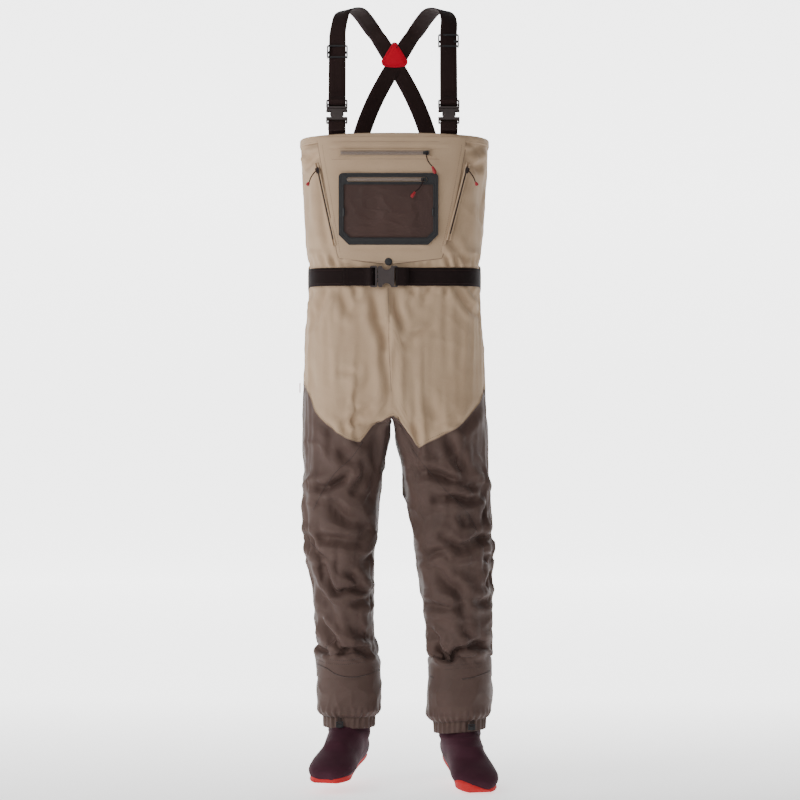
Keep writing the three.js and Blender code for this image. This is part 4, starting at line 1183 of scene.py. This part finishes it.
def pocket_outline(half, top, bottom, cut, corner):
    """Points round the pocket's outline in the bib's plane: cut corners below, round ones above."""
    spots = [(-half + cut, bottom), (half - cut, bottom), (half, bottom + cut)]
    for side, turn in ((1, (0, 30, 60, 90)), (-1, (90, 120, 150, 180))):
        for degrees in turn:
            e = math.radians(degrees)
            x = side * (half - corner) + corner * math.cos(e)
            spots.append((x, top - corner + corner * math.sin(e)))
    spots.append((-half, bottom + cut))
    return np.array(spots)


def add_pocket():
    """The pocket's brown face, crowned and creased inside its moulded frame."""
    outline = resample(pocket_outline(98.5, -67.5, -184.5, 14, 3), 160, closed=True)
    centre = np.array([0, -126.0])
    rings = []
    for share in np.concatenate([[1.0], np.linspace(0.985, 0.06, 34)]):
        flat = centre + (outline - centre) * share
        crown = 2.6 * (1 - share**2.2)
        sag = ripple(np.stack([flat[:, 0], flat[:, 1] * 0.8, 0 * flat[:, 0]], 1), 75, 31) * 0.75
        fine = sharp_noise(np.stack([flat[:, 0] * 0.7, flat[:, 1] * 1.3, 0 * flat[:, 0]], 1), 46, 32) * 0.35
        depth = -4.4 - crown * 0.55 - (1.3 * sag + 1.8 * fine) * min(1, (1 - share) * 7)
        rings.append(on_bib(np.stack([flat[:, 0], np.clip(depth, -7.5, -4.2), flat[:, 1]], 1)))
    rings.append(on_bib(np.tile([(0, -6.0, -126)], (len(outline), 1))))
    points = np.vstack(rings)
    faces = grid_faces(len(rings), len(outline), closed=True)
    rides(add_mesh("pocket_face", points, [f[::-1] for f in faces], PANE), "waders", "pocket_window")
    edges = (("bead", (104.5, -47.5, -195.5, 20, 7), 0.55), ("lip", (100, -66, -186, 14.5, 3), 0.7))
    for name, shape, radius in edges:
        ring = resample(pocket_outline(*shape), 220, closed=True)
        path = on_bib(np.stack([ring[:, 0], np.full(220, -7.0), ring[:, 1]], 1))
        p, f = sweep(path, BIB_OUT, circle(radius, 6), closed=True)
        rides(add_mesh("pocket_frame_" + name, p, f, BLACK), "waders")
    for k, x in enumerate((-98, 98)):
        path = on_bib([(x, -6.4, z) for z in (-119, -121, -128, -135, -137)])
        p, f = sweep(path, BIB_OUT, circle(2.4, 10))
        rides(add_mesh(f"pocket_frame_nub_{k}", p, f, BLACK), "waders")


def add_zip(name, start, end, out, across, tape_width=11.0, size=1.0, coil=None):
    """A coil zip between two points: its tape and two rows of interlocking coils."""
    start, end = np.asarray(start, float), np.asarray(end, float)
    line = end - start
    length = np.linalg.norm(line)
    along = line / length
    path = start + along * np.linspace(0, length, 24)[:, None]
    w, h = tape_width / 2, 0.35
    tape = sweep(path, out, [(-w, -h), (w, -h), (w, h * 0.6), (w * 0.45, h), (-w * 0.45, h), (-w, h * 0.6)])
    coils = []
    pitch = 1.5
    for i in range(int((length - 3) / pitch)):
        at = start + along * (1.5 + i * pitch)
        side = 1 if i % 2 else -1
        a = at + across * side * 2.7 * size
        b = at - across * side * 0.7 * size
        ring = [a + out * 0.2, a + out * 1.0, at + across * side * 0.9 * size + out * 1.5,
                b + out * 1.25, b + out * 0.3]
        coils.append(sweep(smooth_path(ring, 8), along, circle(0.52, 5)))
    piece = add_mesh(name, *join([tape] + coils), TAPE if coil is None else coil)
    piece.data.materials.append(coil or COIL)
    kinds = np.zeros(len(piece.data.polygons), np.int32)
    kinds[len(tape[1]):] = 1
    piece.data.polygons.foreach_set("material_index", kinds)
    rides(piece, "waders", name + "_tape")
    piece.name = name + "_coil"


def add_zips():
    up = np.array([0, math.sin(-BIB_LEAN) * -1, math.cos(BIB_LEAN)])
    zips = (("chest_zip", -105, 90, 1, -4.8, 10), ("pocket_zip", -91, 85, -57, -5.2, 9.6))
    for name, x0, x1, z, y, width in zips:
        start, end = on_bib([(x0, y, z), (x1, y, z)])
        add_zip(name, start, end, BIB_OUT, up, tape_width=width)
    for name in WARMERS:
        top, foot, _, out, across = warmer_lines(name)
        add_zip(name, top - out * 1.2, foot - out * 1.2, out, across,
                tape_width=5, size=0.45, coil=BROWN_DARK)
    # The chest zip's welt: a raised lip above and below the coil.
    for k, dz in enumerate((-6.6, 6.6)):
        x = np.linspace(-109, 94, 60)
        path = on_bib(np.stack([x, np.full(60, -4.3), np.full(60, 1 + dz)], 1))
        p, f = sweep(path, BIB_OUT,
                     [(-1.3, -1.6), (1.3, -1.6), (1.3, 0.3), (0.5, 0.9), (-0.5, 0.9), (-1.3, 0.3)])
        rides(add_mesh(f"chest_zip_welt_{k}", p, f, TAN), "waders")
    for name, (side, _, _, _) in WARMERS.items():
        top, foot, down, out, across = warmer_lines(name)
        for k, gap in enumerate((-3.1, 3.1)):
            path = resample([top - 8 * down, foot + 14 * down], 40) + across * gap - out * 0.8
            p, f = sweep(path, out,
                         [(-1.6, -2.2), (1.6, -2.2), (1.6, 0.4), (0.6, 1.1), (-0.6, 1.1), (-1.6, 0.4)])
            rides(add_mesh(f"{name}_welt_{k}", p, f, TAN), "waders")
    for k, z in enumerate((-20, -58)):
        path = [(x, front_y(np.array(x), z) - 3.9, z) for x in np.linspace(-137, 100, 80)]
        p, f = stitches([path], [np.array([0, -1, 0])], 3, 1.4, 0.7, 0.3)
        rides(add_mesh(f"chest_stitches_{k}", p, f, TAN_DARK), "waders")


# ---- Yoke, snap, label and hem -----------------------------------------------------------------
def add_yoke():
    outline = [(-20, -28), (0, -30), (20, -28), (27, -25), (30, -18), (28.5, -13), (18, 6), (7, 24),
               (4, 27.3),
               (0, 28), (-4, 27.3), (-7, 24), (-18, 6), (-28.5, -13), (-30, -18), (-27, -25)]
    flat = resample(smooth_path(outline + outline[:1], 90), 90, closed=False)[:-1]
    lean = math.atan(0.5)
    c, s = math.cos(lean), math.sin(lean)
    middle = flat.mean(0)

    def turn(points):
        p = np.asarray(points, float)
        return np.stack([p[:, 0], p[:, 1] * c - p[:, 2] * s, p[:, 1] * s + p[:, 2] * c], 1) + YOKE

    for name, near, far in (("yoke_inner", -3.05, -4.9), ("yoke_outer", 3.05, 4.9)):
        sign = -1 if near < 0 else 1
        rings = []
        for share, y in ((1, near), (1.0, near + 0.5 * (far - near)), (0.985, far - 0.15 * sign), (0.95, far),
                         (0.8, far - 0.5 * sign), (0.76, far - 0.1 * sign), (0.5, far + 0.05 * sign),
                         (0.05, far)):
            p = middle + (flat - middle) * share
            rings.append(turn(np.stack([p[:, 0], np.full(len(p), y), p[:, 1]], 1)))
        points = np.vstack(rings)
        faces = grid_faces(len(rings), len(flat), closed=True)
        faces.append(tuple(range(len(flat))))
        faces.append(tuple(range(len(points) - len(flat), len(points)))[::-1])
        rides(add_mesh(name, points, faces, LEATHER), "waders", name + "_patch")
        p = middle + (flat - middle) * 0.87
        row = turn(np.stack([p[:, 0], np.full(len(p), far + 0.1 * sign), p[:, 1]], 1))
        row = np.vstack([row, row[:1]])
        normal = turn([(0, sign, 0)])[0] - YOKE
        sp, sf = stitches([row], [normal], 2.4, 1.2, 0.8, 0.3)
        rides(add_mesh(name + "_stitches", sp, sf, RED_THREAD), "waders")


def add_snap():
    """The press stud's domed cap, between the bib and the belt."""
    profile = [(8.2, 0.2), (8.2, 1.2), (7.6, 1.9), (6.4, 2.2), (5.6, 2.0), (4.4, 2.3), (2.4, 2.4),
               (0.01, 2.5)]
    turns = 40
    rings = []
    low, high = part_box("belt_snap")
    centre = (np.array(low) + np.array(high)) / 2 * 1000 + YOKE
    for r, h in profile:
        t = np.linspace(0, 2 * math.pi, turns, endpoint=False)
        rings.append(np.stack([centre[0] + r * np.cos(t), np.full(turns, centre[1] - h + 2.4 - 4.2),
                               centre[2] + r * np.sin(t)], 1))
    points = np.vstack(rings)
    rides(add_mesh("belt_snap_cap", points, grid_faces(len(profile), turns, closed=True), BLACK), "waders")


def add_label():
    low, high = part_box("hip_label")
    low, high = np.array(low) * 1000 + YOKE, np.array(high) * 1000 + YOKE
    y0, y1, x = low[1], high[1], (low[0] + high[0]) / 2
    z = np.linspace(low[2], high[2], 26)
    ends = np.abs(np.sin(math.pi * (z - z[0]) / (z[-1] - z[0]))) ** 0.4
    rows = []
    for y in np.linspace(y0, y1, 16):
        edge = abs(math.sin(math.pi * (y - y0) / (y1 - y0))) ** 0.4
        rows.append(np.stack([x - 0.4 - 0.5 * edge * ends, np.full(26, y), z], 1))
    piece = add_mesh("hip_label_tape", np.vstack(rows), grid_faces(16, 26), LEATHER)
    modifier(piece, "SOLIDIFY", thickness=0.0011, offset=0)
    modifier(piece, "BEVEL", width=0.0003, segments=2)
    rides(piece, "waders", "hip_label")
    inset = [(x - 1.4, y0 + 1.5, low[2] + 1.5), (x - 1.4, y1 - 1.5, low[2] + 1.5),
             (x - 1.4, y1 - 1.5, high[2] - 1.5),
             (x - 1.4, y0 + 1.5, high[2] - 1.5), (x - 1.4, y0 + 1.5, low[2] + 1.5)]
    p, f = stitches([inset], [np.array([-1, 0, 0])], 2, 1, 0.6, 0.3)
    rides(add_mesh("hip_label_stitches", p, f, RED_THREAD), "waders")


def hem_ring(z, grow):
    left = torso_half(z, 1, -grow)
    ring = np.vstack([left, left[-2:0:-1] * (-1, 1)])
    return hem_dip(np.column_stack([ring, np.full(len(ring), z)]))


def add_hem():
    """The chest opening's turned hem with its elastic casing, and a row of stitching."""
    profile = [(-16, 0.3), (-15, 1.5), (-9, 2.0), (-2.5, 1.7), (-0.6, 0.8), (-0.4, -0.8), (-2.5, -1.6),
               (-9, -1.8), (-15, -1.5), (-16, -0.4)]
    rings = [hem_ring(z, g) for z, g in profile]
    count = len(rings[0])
    points = np.vstack(rings)
    faces = grid_faces(len(rings), count, closed=True)
    rides(add_mesh("chest_hem", points, [f[::-1] for f in faces], TAN), "waders")
    ring = hem_ring(-12.5, 1.9)
    row = np.vstack([ring, ring[:1]])
    flat = row * (1, 1, 0)
    out = flat / np.linalg.norm(flat, axis=1)[:, None]
    p, f = stitches([row], [out], 3, 1.6, 0.8, 0.35)
    rides(add_mesh("chest_hem_stitches", p, f, TAN_DARK), "waders")


# ---- Gravel guards and booties ------------------------------------------------------------------
def add_guard(side):
    """A gravel guard in one cloth from under the leg's edge to its gathered elastic hem."""
    x, bottom = GUARDS[side]
    columns = 180
    seed = 41 if side == "right" else 42
    t = np.linspace(0, 2 * math.pi, columns, endpoint=False)
    heights = np.concatenate([np.linspace(-1184, bottom + 20, 40), np.linspace(bottom + 18, bottom - 1, 14),
                              np.linspace(bottom - 2.5, bottom - 25, 14)])
    keys = [bottom - 25, bottom - 3, bottom - 0.5, bottom + 3, bottom + 12, -1240, -1212, -1190, -1184]
    size = [58.2, 58.6, 59.5, 66, 72.5, 73.5, 71.5, 70.5, 69]
    pleats = np.sin(30 * t + 1.4 * np.sin(4 * t)) * (0.75 + 0.25 * np.sin(7 * t + seed))
    rings = []
    for z in heights:
        r = np.interp(z, keys, size)
        depth = r + 2.5
        ring = superellipse(t, r, depth, depth, 2.3, 2.3)
        gather = np.interp(z, [bottom - 19, bottom - 10, bottom, bottom + 10, bottom + 30],
                           [1.5, 1.9, 2.6, 1.8, 0])
        loose = np.interp(z, [bottom, bottom + 14, -1226, -1207], [0.3, 1, 1, 0.05])
        spots = np.stack([ring[:, 0], ring[:, 1], np.full(columns, z)], 1)
        folds = 2.2 * sharp_noise(spots * (1, 1, 0.9), 120, seed) + 0.9 * sharp_noise(spots, 50, seed + 2)
        slouch = np.interp(z, [bottom, bottom + 16, bottom + 34], [0, 1, 0]) * 2.5 * np.sin(3 * t + seed)
        grow = 1 + (gather * pleats + loose * folds + slouch) / r
        tip = (5 * np.cos(t) - 3 if side == "left" else 0 * t) * np.interp(z, [bottom, -1200], [1, 0])
        spots = np.stack([x + ring[:, 0] * grow, ring[:, 1] * grow, z + tip], 1)
        rings.append(spots)
    inner = [np.stack([x + (r[:, 0] - x) * 0.972, r[:, 1] * 0.972, r[:, 2] + up], 1)
             for r, up in ((rings[-1], -0.8), (rings[-1], 3), (rings[-6], 0))]
    points = np.vstack(rings + inner)
    faces = grid_faces(len(heights) + 3, columns, closed=True)
    piece = add_mesh(side + "_guard_cloth", points, faces, BROWN)
    modifier(piece, "SUBSURF", levels=1, render_levels=1)
    rides(piece, side + "_shin", side + "_gravel_guard", side + "_guard_hem")
    row = rings[len(heights) - 15]
    out = (row - (x, 0, 0)) * (1, 1, 0)
    out /= np.linalg.norm(out, axis=1)[:, None]
    path = np.vstack([row, row[:1]])
    p, f = stitches([path + np.vstack([out, out[:1]]) * 0.5], [np.vstack([out, out[:1]])], 2.6, 1.6, 0.8, 0.4)
    rides(add_mesh(side + "_guard_stitches", p, f, BROWN_DARK), side + "_shin")


def foot_to_garment(side, points):
    """Points in the foot's own frame, where the ankle is the origin, to garment mm."""
    centre, pitch, yaw = ANKLES[side]
    a, b = math.radians(pitch), math.radians(yaw)
    p = np.asarray(points, float)
    y = p[:, 1] * math.cos(a) - p[:, 2] * math.sin(a)
    z = p[:, 1] * math.sin(a) + p[:, 2] * math.cos(a)
    x = p[:, 0] * math.cos(b) - y * math.sin(b)
    y = p[:, 0] * math.sin(b) + y * math.cos(b)
    return np.stack([x, y, z], 1) + np.array(centre)


def foot_table(count):
    """The foot's sections spread evenly and rounded off at heel and toe."""
    y = np.linspace(FOOT[0, 0] - 0.5, FOOT[-1, 0] + 0.5, count)
    order = np.argsort(FOOT[:, 0])
    spread = np.linspace(-9, 9, 7)
    half = np.interp(y[:, None] + spread, FOOT[order, 0], FOOT[order, 1]).mean(1)
    top = np.interp(y[:, None] + spread, FOOT[order, 0], FOOT[order, 2]).mean(1)
    return y, half, top


def add_bootie(side):
    """A neoprene sock: foot and ankle as one skin, with its seams and a red sole."""
    y, half, top = foot_table(60)
    t = np.linspace(0, 2 * math.pi, 48, endpoint=False)
    rings = []
    for yy, w, h in zip(y, half, top):
        low = 0.4 * h
        z = low + 0.6 * h * np.sign(np.sin(t)) * np.abs(np.sin(t)) ** 0.95
        rings.append(np.stack([w * np.cos(t), np.full(48, yy), np.maximum(z, 0.6) - ANKLE_HEIGHT], 1))
    foot = (np.vstack(rings), grid_faces(len(rings), 48, closed=True))
    caps = [tuple(range(48)), tuple(range(len(foot[0]) - 48, len(foot[0])))[::-1]]
    foot = (foot[0], foot[1] + caps)
    rings = []
    for degrees in (60, 50, 43, 36, 28, 18, 8, -4, -15, -25, -35, -60):
        e = math.radians(degrees)
        r = 49.0 * math.cos(e) if degrees < 43 else 49.0 * math.cos(math.radians(43)) + 3
        z = 49 * math.sin(e) if degrees <= 43 else 33.4 + (degrees - 43) * 0.5
        rings.append(np.stack([r * np.cos(t), r * np.sin(t), np.full(48, z)], 1))
    neck = (np.vstack(rings), [f[::-1] for f in grid_faces(len(rings), 48, closed=True)])
    caps = [tuple(range(48))[::-1], tuple(range(len(neck[0]) - 48, len(neck[0])))]
    neck = (neck[0], neck[1] + caps)
    instep = []
    for share in np.linspace(0, 1, 7):
        rings = []
        for degrees in range(-80, 81, 20):
            e = math.radians(degrees)
            r = 44.5 - 7 * share
            flat = r * math.cos(e)
            rings.append(np.stack([flat * np.cos(t), -95 * share + flat * np.sin(t),
                                   np.full(48, -6 - 28 * share + r * math.sin(e))], 1))
        caps = [tuple(range(48))[::-1], tuple(range(48 * 8, 48 * 9))]
        instep.append((np.vstack(rings), [f[::-1] for f in grid_faces(9, 48, closed=True)] + caps))
    points, faces = join([foot, neck] + instep)
    raw = add_mesh(side + "_raw", foot_to_garment(side, points), faces, NEOPRENE)
    modifier(raw, "REMESH", mode="VOXEL", voxel_size=0.0034, use_smooth_shade=True)
    modifier(raw, "SMOOTH", factor=0.6, iterations=26)
    points, normals, faces, _ = evaluated(raw)
    bpy.data.objects.remove(raw)
    centre = np.array(ANKLES[side][0])
    above = points[:, 2] - centre[2]
    ankle = np.exp(-(((above + 6) / 26) ** 2))
    seed = 51 if side == "right" else 52
    moved = 0.8 * ripple(points, 70, seed) + ankle * 1.5 * sharp_noise(points * (0.5, 0.5, 2.2), 85, seed)
    moved -= 0.6
    piece = add_mesh(side + "_bootie_skin", points + normals * moved[:, None], faces, NEOPRENE)
    rides(piece, side + "_foot", side + "_bootie")
    # Taped seams round the sole's edge, one along each side of the foot.
    tree = Surface(points + normals * moved[:, None], faces)
    centre_line = foot_to_garment(side, [(0, yy, h * 0.5 - ANKLE_HEIGHT) for yy, h in zip(y, top)])
    seams = []
    for share in (1, -1):
        row, outs = [], []
        for k in range(3, 57):
            base = centre_line[k] - np.array([0, 0, 0.18 * top[k]])
            aim = foot_to_garment(side, [(share * 1000, y[k], -ANKLE_HEIGHT + 0.32 * top[k])])[0] - base
            aim /= np.linalg.norm(aim)
            hit, normal, _, _ = tree.tree.ray_cast(Vector(base + aim * 130), Vector(-aim))
            if hit is None:
                continue
            row.append(np.array(hit))
            outs.append(np.array(normal))
        seams.append((np.array(row), np.array(outs)))
    parts = [sweep(smooth_path(row, 90), resample(outs, 90),
                   [(-1.5, -0.5), (1.5, -0.5), (0.9, 0.35), (-0.9, 0.35)])
             for row, outs in seams if len(row) > 8]
    if parts:
        rides(add_mesh(side + "_bootie_seams", *join(parts), SEAM_TAPE), side + "_foot")
    add_sole(side, y, half, tree)


def add_sole(side, y, half, skin):
    """A thin red sole turned up round the edge of the foot."""
    right = np.stack([half * (0.78 + 0.15 * smoothstep(-115, -180, y)), y], 1)[1:-1]
    outline = resample(np.vstack([right, (right * (-1, 1))[::-1]]), 150, closed=True)
    middle = np.array([0, -70.0])
    toe = smoothstep(-120, -190, outline[:, 1])
    inner = smoothstep(25, -45, outline[:, 0])
    rise = toe * (5 + 15 * inner if side == "left" else 8)
    rings = []
    for share, z, lip in ((0.2, -5.0, 0), (0.8, -5.2, 0), (0.94, -4.9, 0), (0.985, -3.6, 0), (1.0, -2.0, 0.1),
                          (1.0, -0.9, 0.4), (1.0, -0.4, 0.7), (1.0, -0.2, 1.0), (0.99, -0.1, 1.05)):
        flat = middle + (outline - middle) * share
        ring = np.stack([flat[:, 0], flat[:, 1], z + lip * rise - ANKLE_HEIGHT], 1)
        rings.append(foot_to_garment(side, ring))
    for k, off in ((5, 1.1), (6, 1.1), (7, 0.9), (8, -0.4)):
        for i, spot in enumerate(rings[k]):
            hit, normal, _, _ = skin.tree.find_nearest(Vector(spot))
            rings[k][i] = np.array(hit) + np.array(normal) * off
    points = np.vstack(rings)
    faces = grid_faces(len(rings), len(outline), closed=True)
    faces.append(tuple(range(len(outline)))[::-1])
    piece = add_mesh(side + "_sole_cup", points, faces, SOLE_RED)
    rides(piece, side + "_foot", side + "_sole")


def add_hook_webbing():
    """The short loop that hangs each lace hook from its gravel guard."""
    for side in ("right", "left"):
        low, high = (np.array(v) * 1000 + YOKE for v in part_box(side + "_lace_hook"))
        x = (low[0] + high[0]) / 2
        path = [(x, high[1] + 1.6, high[2] + 12), (x, high[1] + 0.2, high[2] + 5),
                (x, high[1] - 1.6, high[2] - 0.4),
                (x, high[1] - 2.4, high[2] - 2.2)]
        piece = ribbon(side + "_hook_tape", smooth_path(path, 14), (1, 0, 0), 9, 1.1, BROWN_DARK)
        rides(piece, side + "_shin")


# ---- Garment ----------------------------------------------------------------------------------
def add_garment():
    points, faces, part = build_garment()
    settled = simulate(points, faces)
    rim = {
        "left": [(UPPER_ROWS - 1) * COLUMNS + c for c in range(HALF)],
        "right": [(UPPER_ROWS - 1) * COLUMNS] + [(UPPER_ROWS) * COLUMNS - c for c in range(1, HALF)],
    }
    points, normals, faces, slots = dress_cloth(hem_dip(settled), faces, part)
    names = ((0, "body_cloth", TAN), (1, "right_leg_cloth", BROWN), (2, "left_leg_cloth", BROWN))
    for index, name, material in names:
        piece = add_mesh(name, *subset(points, faces, np.flatnonzero(slots == index)), material)
        if index == 0:
            rides(piece, "waders", "upper_shell")
            continue
        side = name.split("_")[0]
        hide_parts(side + "_leg_upper", side + "_leg_lower")
        knee_blend(piece)
    surface = Surface(points, faces)
    for side, ids in rim.items():
        row = points[ids]
        out = normals[ids]
        lip = sweep(row + out * 0.5, out, circle(0.9, 6))
        rides(add_mesh(side + "_hip_seam", *lip, TAN_DARK), "waders")
        up = row + out * 0.6 + np.array([0, 0, 6.0])
        snapped, outs = [], []
        for spot, normal in zip(up, out):
            hit, n, _, _ = surface.tree.find_nearest(Vector(spot))
            n = np.array(n) * (1 if np.dot(n, normal) > 0 else -1)
            snapped.append(np.array(hit) + n * 0.2)
            outs.append(n)
        p, f = stitches([np.array(snapped)], [np.array(outs)], 3, 1.5, 0.8, 0.35)
        rides(add_mesh(side + "_hip_stitches", p, f, TAN_DARK), "waders")
    for name, path, body in SEAM_LINES:
        spots, outs = surface.drape(path, 60, 0.2)
        if len(spots) < 6:
            continue
        line = sweep(spots, outs, [(-0.7, -0.4), (0.7, -0.4), (0.4, 0.2), (-0.4, 0.2)])
        piece = add_mesh(name, *line, TAN_DARK if body == "waders" else BROWN_SEAM_AND_SHADOW)
        if body == "waders":
            rides(piece, "waders")
        else:
            knee_blend(piece)
    cuffs(surface)


SEAM_LINES = [
    ("fly_seam", [(-14, -340), (-12, -400), (-12, -462), (-7, -567)], "waders"),
    ("right_knee_seam", [(-70, -678), (-95, -713), (-129, -744), (-157, -784), (-181, -830)], "right"),
    ("right_shin_seam", [(-205, -863), (-191, -896), (-166, -924), (-149, -936)], "right"),
    ("left_knee_seam", [(39, -694), (67, -731), (110, -781), (160, -833), (188, -883)], "left"),
    ("left_shin_seam", [(144, -905), (173, -892), (207, -890)], "left"),
]


def knee_blend(piece):
    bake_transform(piece)


def cuffs(surface):
    """The leg's turned edge over the gravel guard, in a darker brown as painted shadow under the hem, and the
    stitched band above it.
    """
    rows = {
        "right": ([(-176, -1176), (-152, -1182), (-129, -1195), (-98, -1201), (-64, -1197), (-30, -1188)],
                  [(-174, -1158), (-120, -1164), (-60, -1158)]),
        "left": ([(77, -1204), (104, -1206), (135, -1206), (173, -1202), (216, -1190)],
                 [(112, -1176), (150, -1172), (196, -1172)]),
    }
    for side, (edge, band) in rows.items():
        # The turned edge is a darker brown: painted shadow under the hem's overlap.
        spots, outs = surface.drape(edge, 60, 0.3)
        if len(spots) > 6:
            p, f = sweep(spots, outs, circle(1.1, 6))
            rides(add_mesh(side + "_cuff_edge", p, f, BROWN_SEAM_AND_SHADOW), side + "_shin")
        for k, dz in enumerate((0, -9)):
            spots, outs = surface.drape([(x, z + dz) for x, z in band], 40, 0.2)
            if len(spots) > 6:
                p, f = stitches([spots], [outs], 3, 1.5, 0.8, 0.35)
                rides(add_mesh(f"{side}_cuff_stitches_{k}", p, f, BROWN_DARK), side + "_shin")


# ---- Camera, light and floor -------------------------------------------------------------------
CAMERA_AT = (12.4, -6000, -585)
CAMERA_LENS = 120


def add_camera():
    data = bpy.data.cameras.new("camera")
    data.lens = CAMERA_LENS
    data.sensor_width = 36
    data.clip_end = 60
    camera = bpy.data.objects.new("camera", data)
    camera.location = place([CAMERA_AT])[0]
    camera.rotation_euler = (math.pi / 2, 0, 0)
    bpy.context.scene.collection.objects.link(camera)
    bpy.context.scene.camera = camera


def add_light(name, at, aim, size, watts, height=None):
    data = bpy.data.lights.new(name, "AREA")
    data.shape = "RECTANGLE"
    data.size, data.size_y = size, height or size
    data.energy = watts
    light = bpy.data.objects.new(name, data)
    light.location = at
    light.visible_camera = False
    light.rotation_euler = (Vector(aim) - Vector(at)).to_track_quat("-Z", "Y").to_euler()
    bpy.context.scene.collection.objects.link(light)


def add_studio():
    """A pale floor that curves up into a pale wall behind, glowing faintly in front and strongly behind as
    painted light, and big soft lights.
    """
    floor_z = cad_box[0][2] - 0.002
    profile = [(-9, floor_z), (6.5, floor_z)]
    for degrees in range(10, 91, 10):
        e = math.radians(degrees)
        profile.append((6.5 + 2.0 * math.sin(e), floor_z + 2.0 * (1 - math.cos(e))))
    profile.append((8.5, floor_z + 7))
    points = [(x, y, z) for y, z in profile for x in (-9, 9)]
    faces = [(2 * i, 2 * i + 1, 2 * i + 3, 2 * i + 2) for i in range(len(profile) - 1)]
    mesh = bpy.data.meshes.new("studio")
    mesh.from_pydata(points, [], faces)
    mesh.polygons.foreach_set("use_smooth", [True] * len(mesh.polygons))
    material = bpy.data.materials.new("studio_white")
    material.use_nodes = True
    shader = material.node_tree.nodes["Principled BSDF"]
    shader.inputs["Base Color"].default_value = (0.92, 0.92, 0.92, 1)
    shader.inputs["Roughness"].default_value = 0.9
    shader.inputs["Emission Color"].default_value = (1, 1, 1, 1)
    tree = material.node_tree
    # Painted light: the floor and wall glow, from 0.25 in front of the waders up to 3 toward the wall behind.
    coords = tree.nodes.new("ShaderNodeTexCoord")
    split = tree.nodes.new("ShaderNodeSeparateXYZ")
    glow = tree.nodes.new("ShaderNodeMapRange")
    tree.links.new(coords.outputs["Object"], split.inputs["Vector"])
    tree.links.new(split.outputs["Y"], glow.inputs["Value"])
    for key, value in {"From Min": -1.0, "From Max": 1.6, "To Min": 0.25, "To Max": 3.0}.items():
        glow.inputs[key].default_value = value
    tree.links.new(glow.outputs["Result"], shader.inputs["Emission Strength"])
    mesh.materials.append(material)
    studio = bpy.data.objects.new("studio", mesh)
    bpy.context.scene.collection.objects.link(studio)
    world = bpy.data.worlds.new("studio_sky")
    world.use_nodes = True
    background = world.node_tree.nodes["Background"]
    background.inputs["Color"].default_value = (1, 1, 1, 1)
    background.inputs["Strength"].default_value = 0.3
    bpy.context.scene.world = world
    add_light("key", (-1.55, -1.15, -0.5), (0, 0, -0.7), 0.8, 30, height=2.6)
    add_light("fill", (-1.2, -4.2, 0.9), (0, 0, -0.9), 1.6, 42)


# ---- Making -----------------------------------------------------------------------------------
STRAP_EDGE = webbing_material("webbing_edge_rib", srgb(52, 34, 31), srgb(36, 22, 20))
# Painted shade: a darker tan for the line along the bib's edges.
BIB_EDGE_SHADE = cloth_material("bib_edge_shade", srgb(104, 86, 70), srgb(92, 76, 62))
TAPE = cloth_material("zip_tape_cloth", srgb(140, 122, 106), srgb(122, 105, 90))
LEATHER = neoprene_material("red_patch", srgb(200, 0, 40), srgb(184, 0, 33))
RED_THREAD = moulded_material("red_thread", srgb(150, 10, 34), srgb(128, 6, 26), rough=0.7)
SEAM_TAPE = neoprene_material("bootie_seam_tape", srgb(54, 29, 38), srgb(42, 20, 28))
# Darker brown for the seam lines on the legs, and painted shadow along the cuffs' edges.
BROWN_SEAM_AND_SHADOW = cloth_material("brown_seam_and_shadow", srgb(60, 45, 40), srgb(50, 37, 33))

add_camera()
add_pull_cords()
finish_cad_nodes()
add_studio()
add_garment()
add_hem()
add_bib()
add_pocket()
add_zips()
add_belt()
add_suspenders()
add_yoke()
add_snap()
add_label()
for foot_side in ("right", "left"):
    add_guard(foot_side)
    add_bootie(foot_side)
add_hook_webbing()
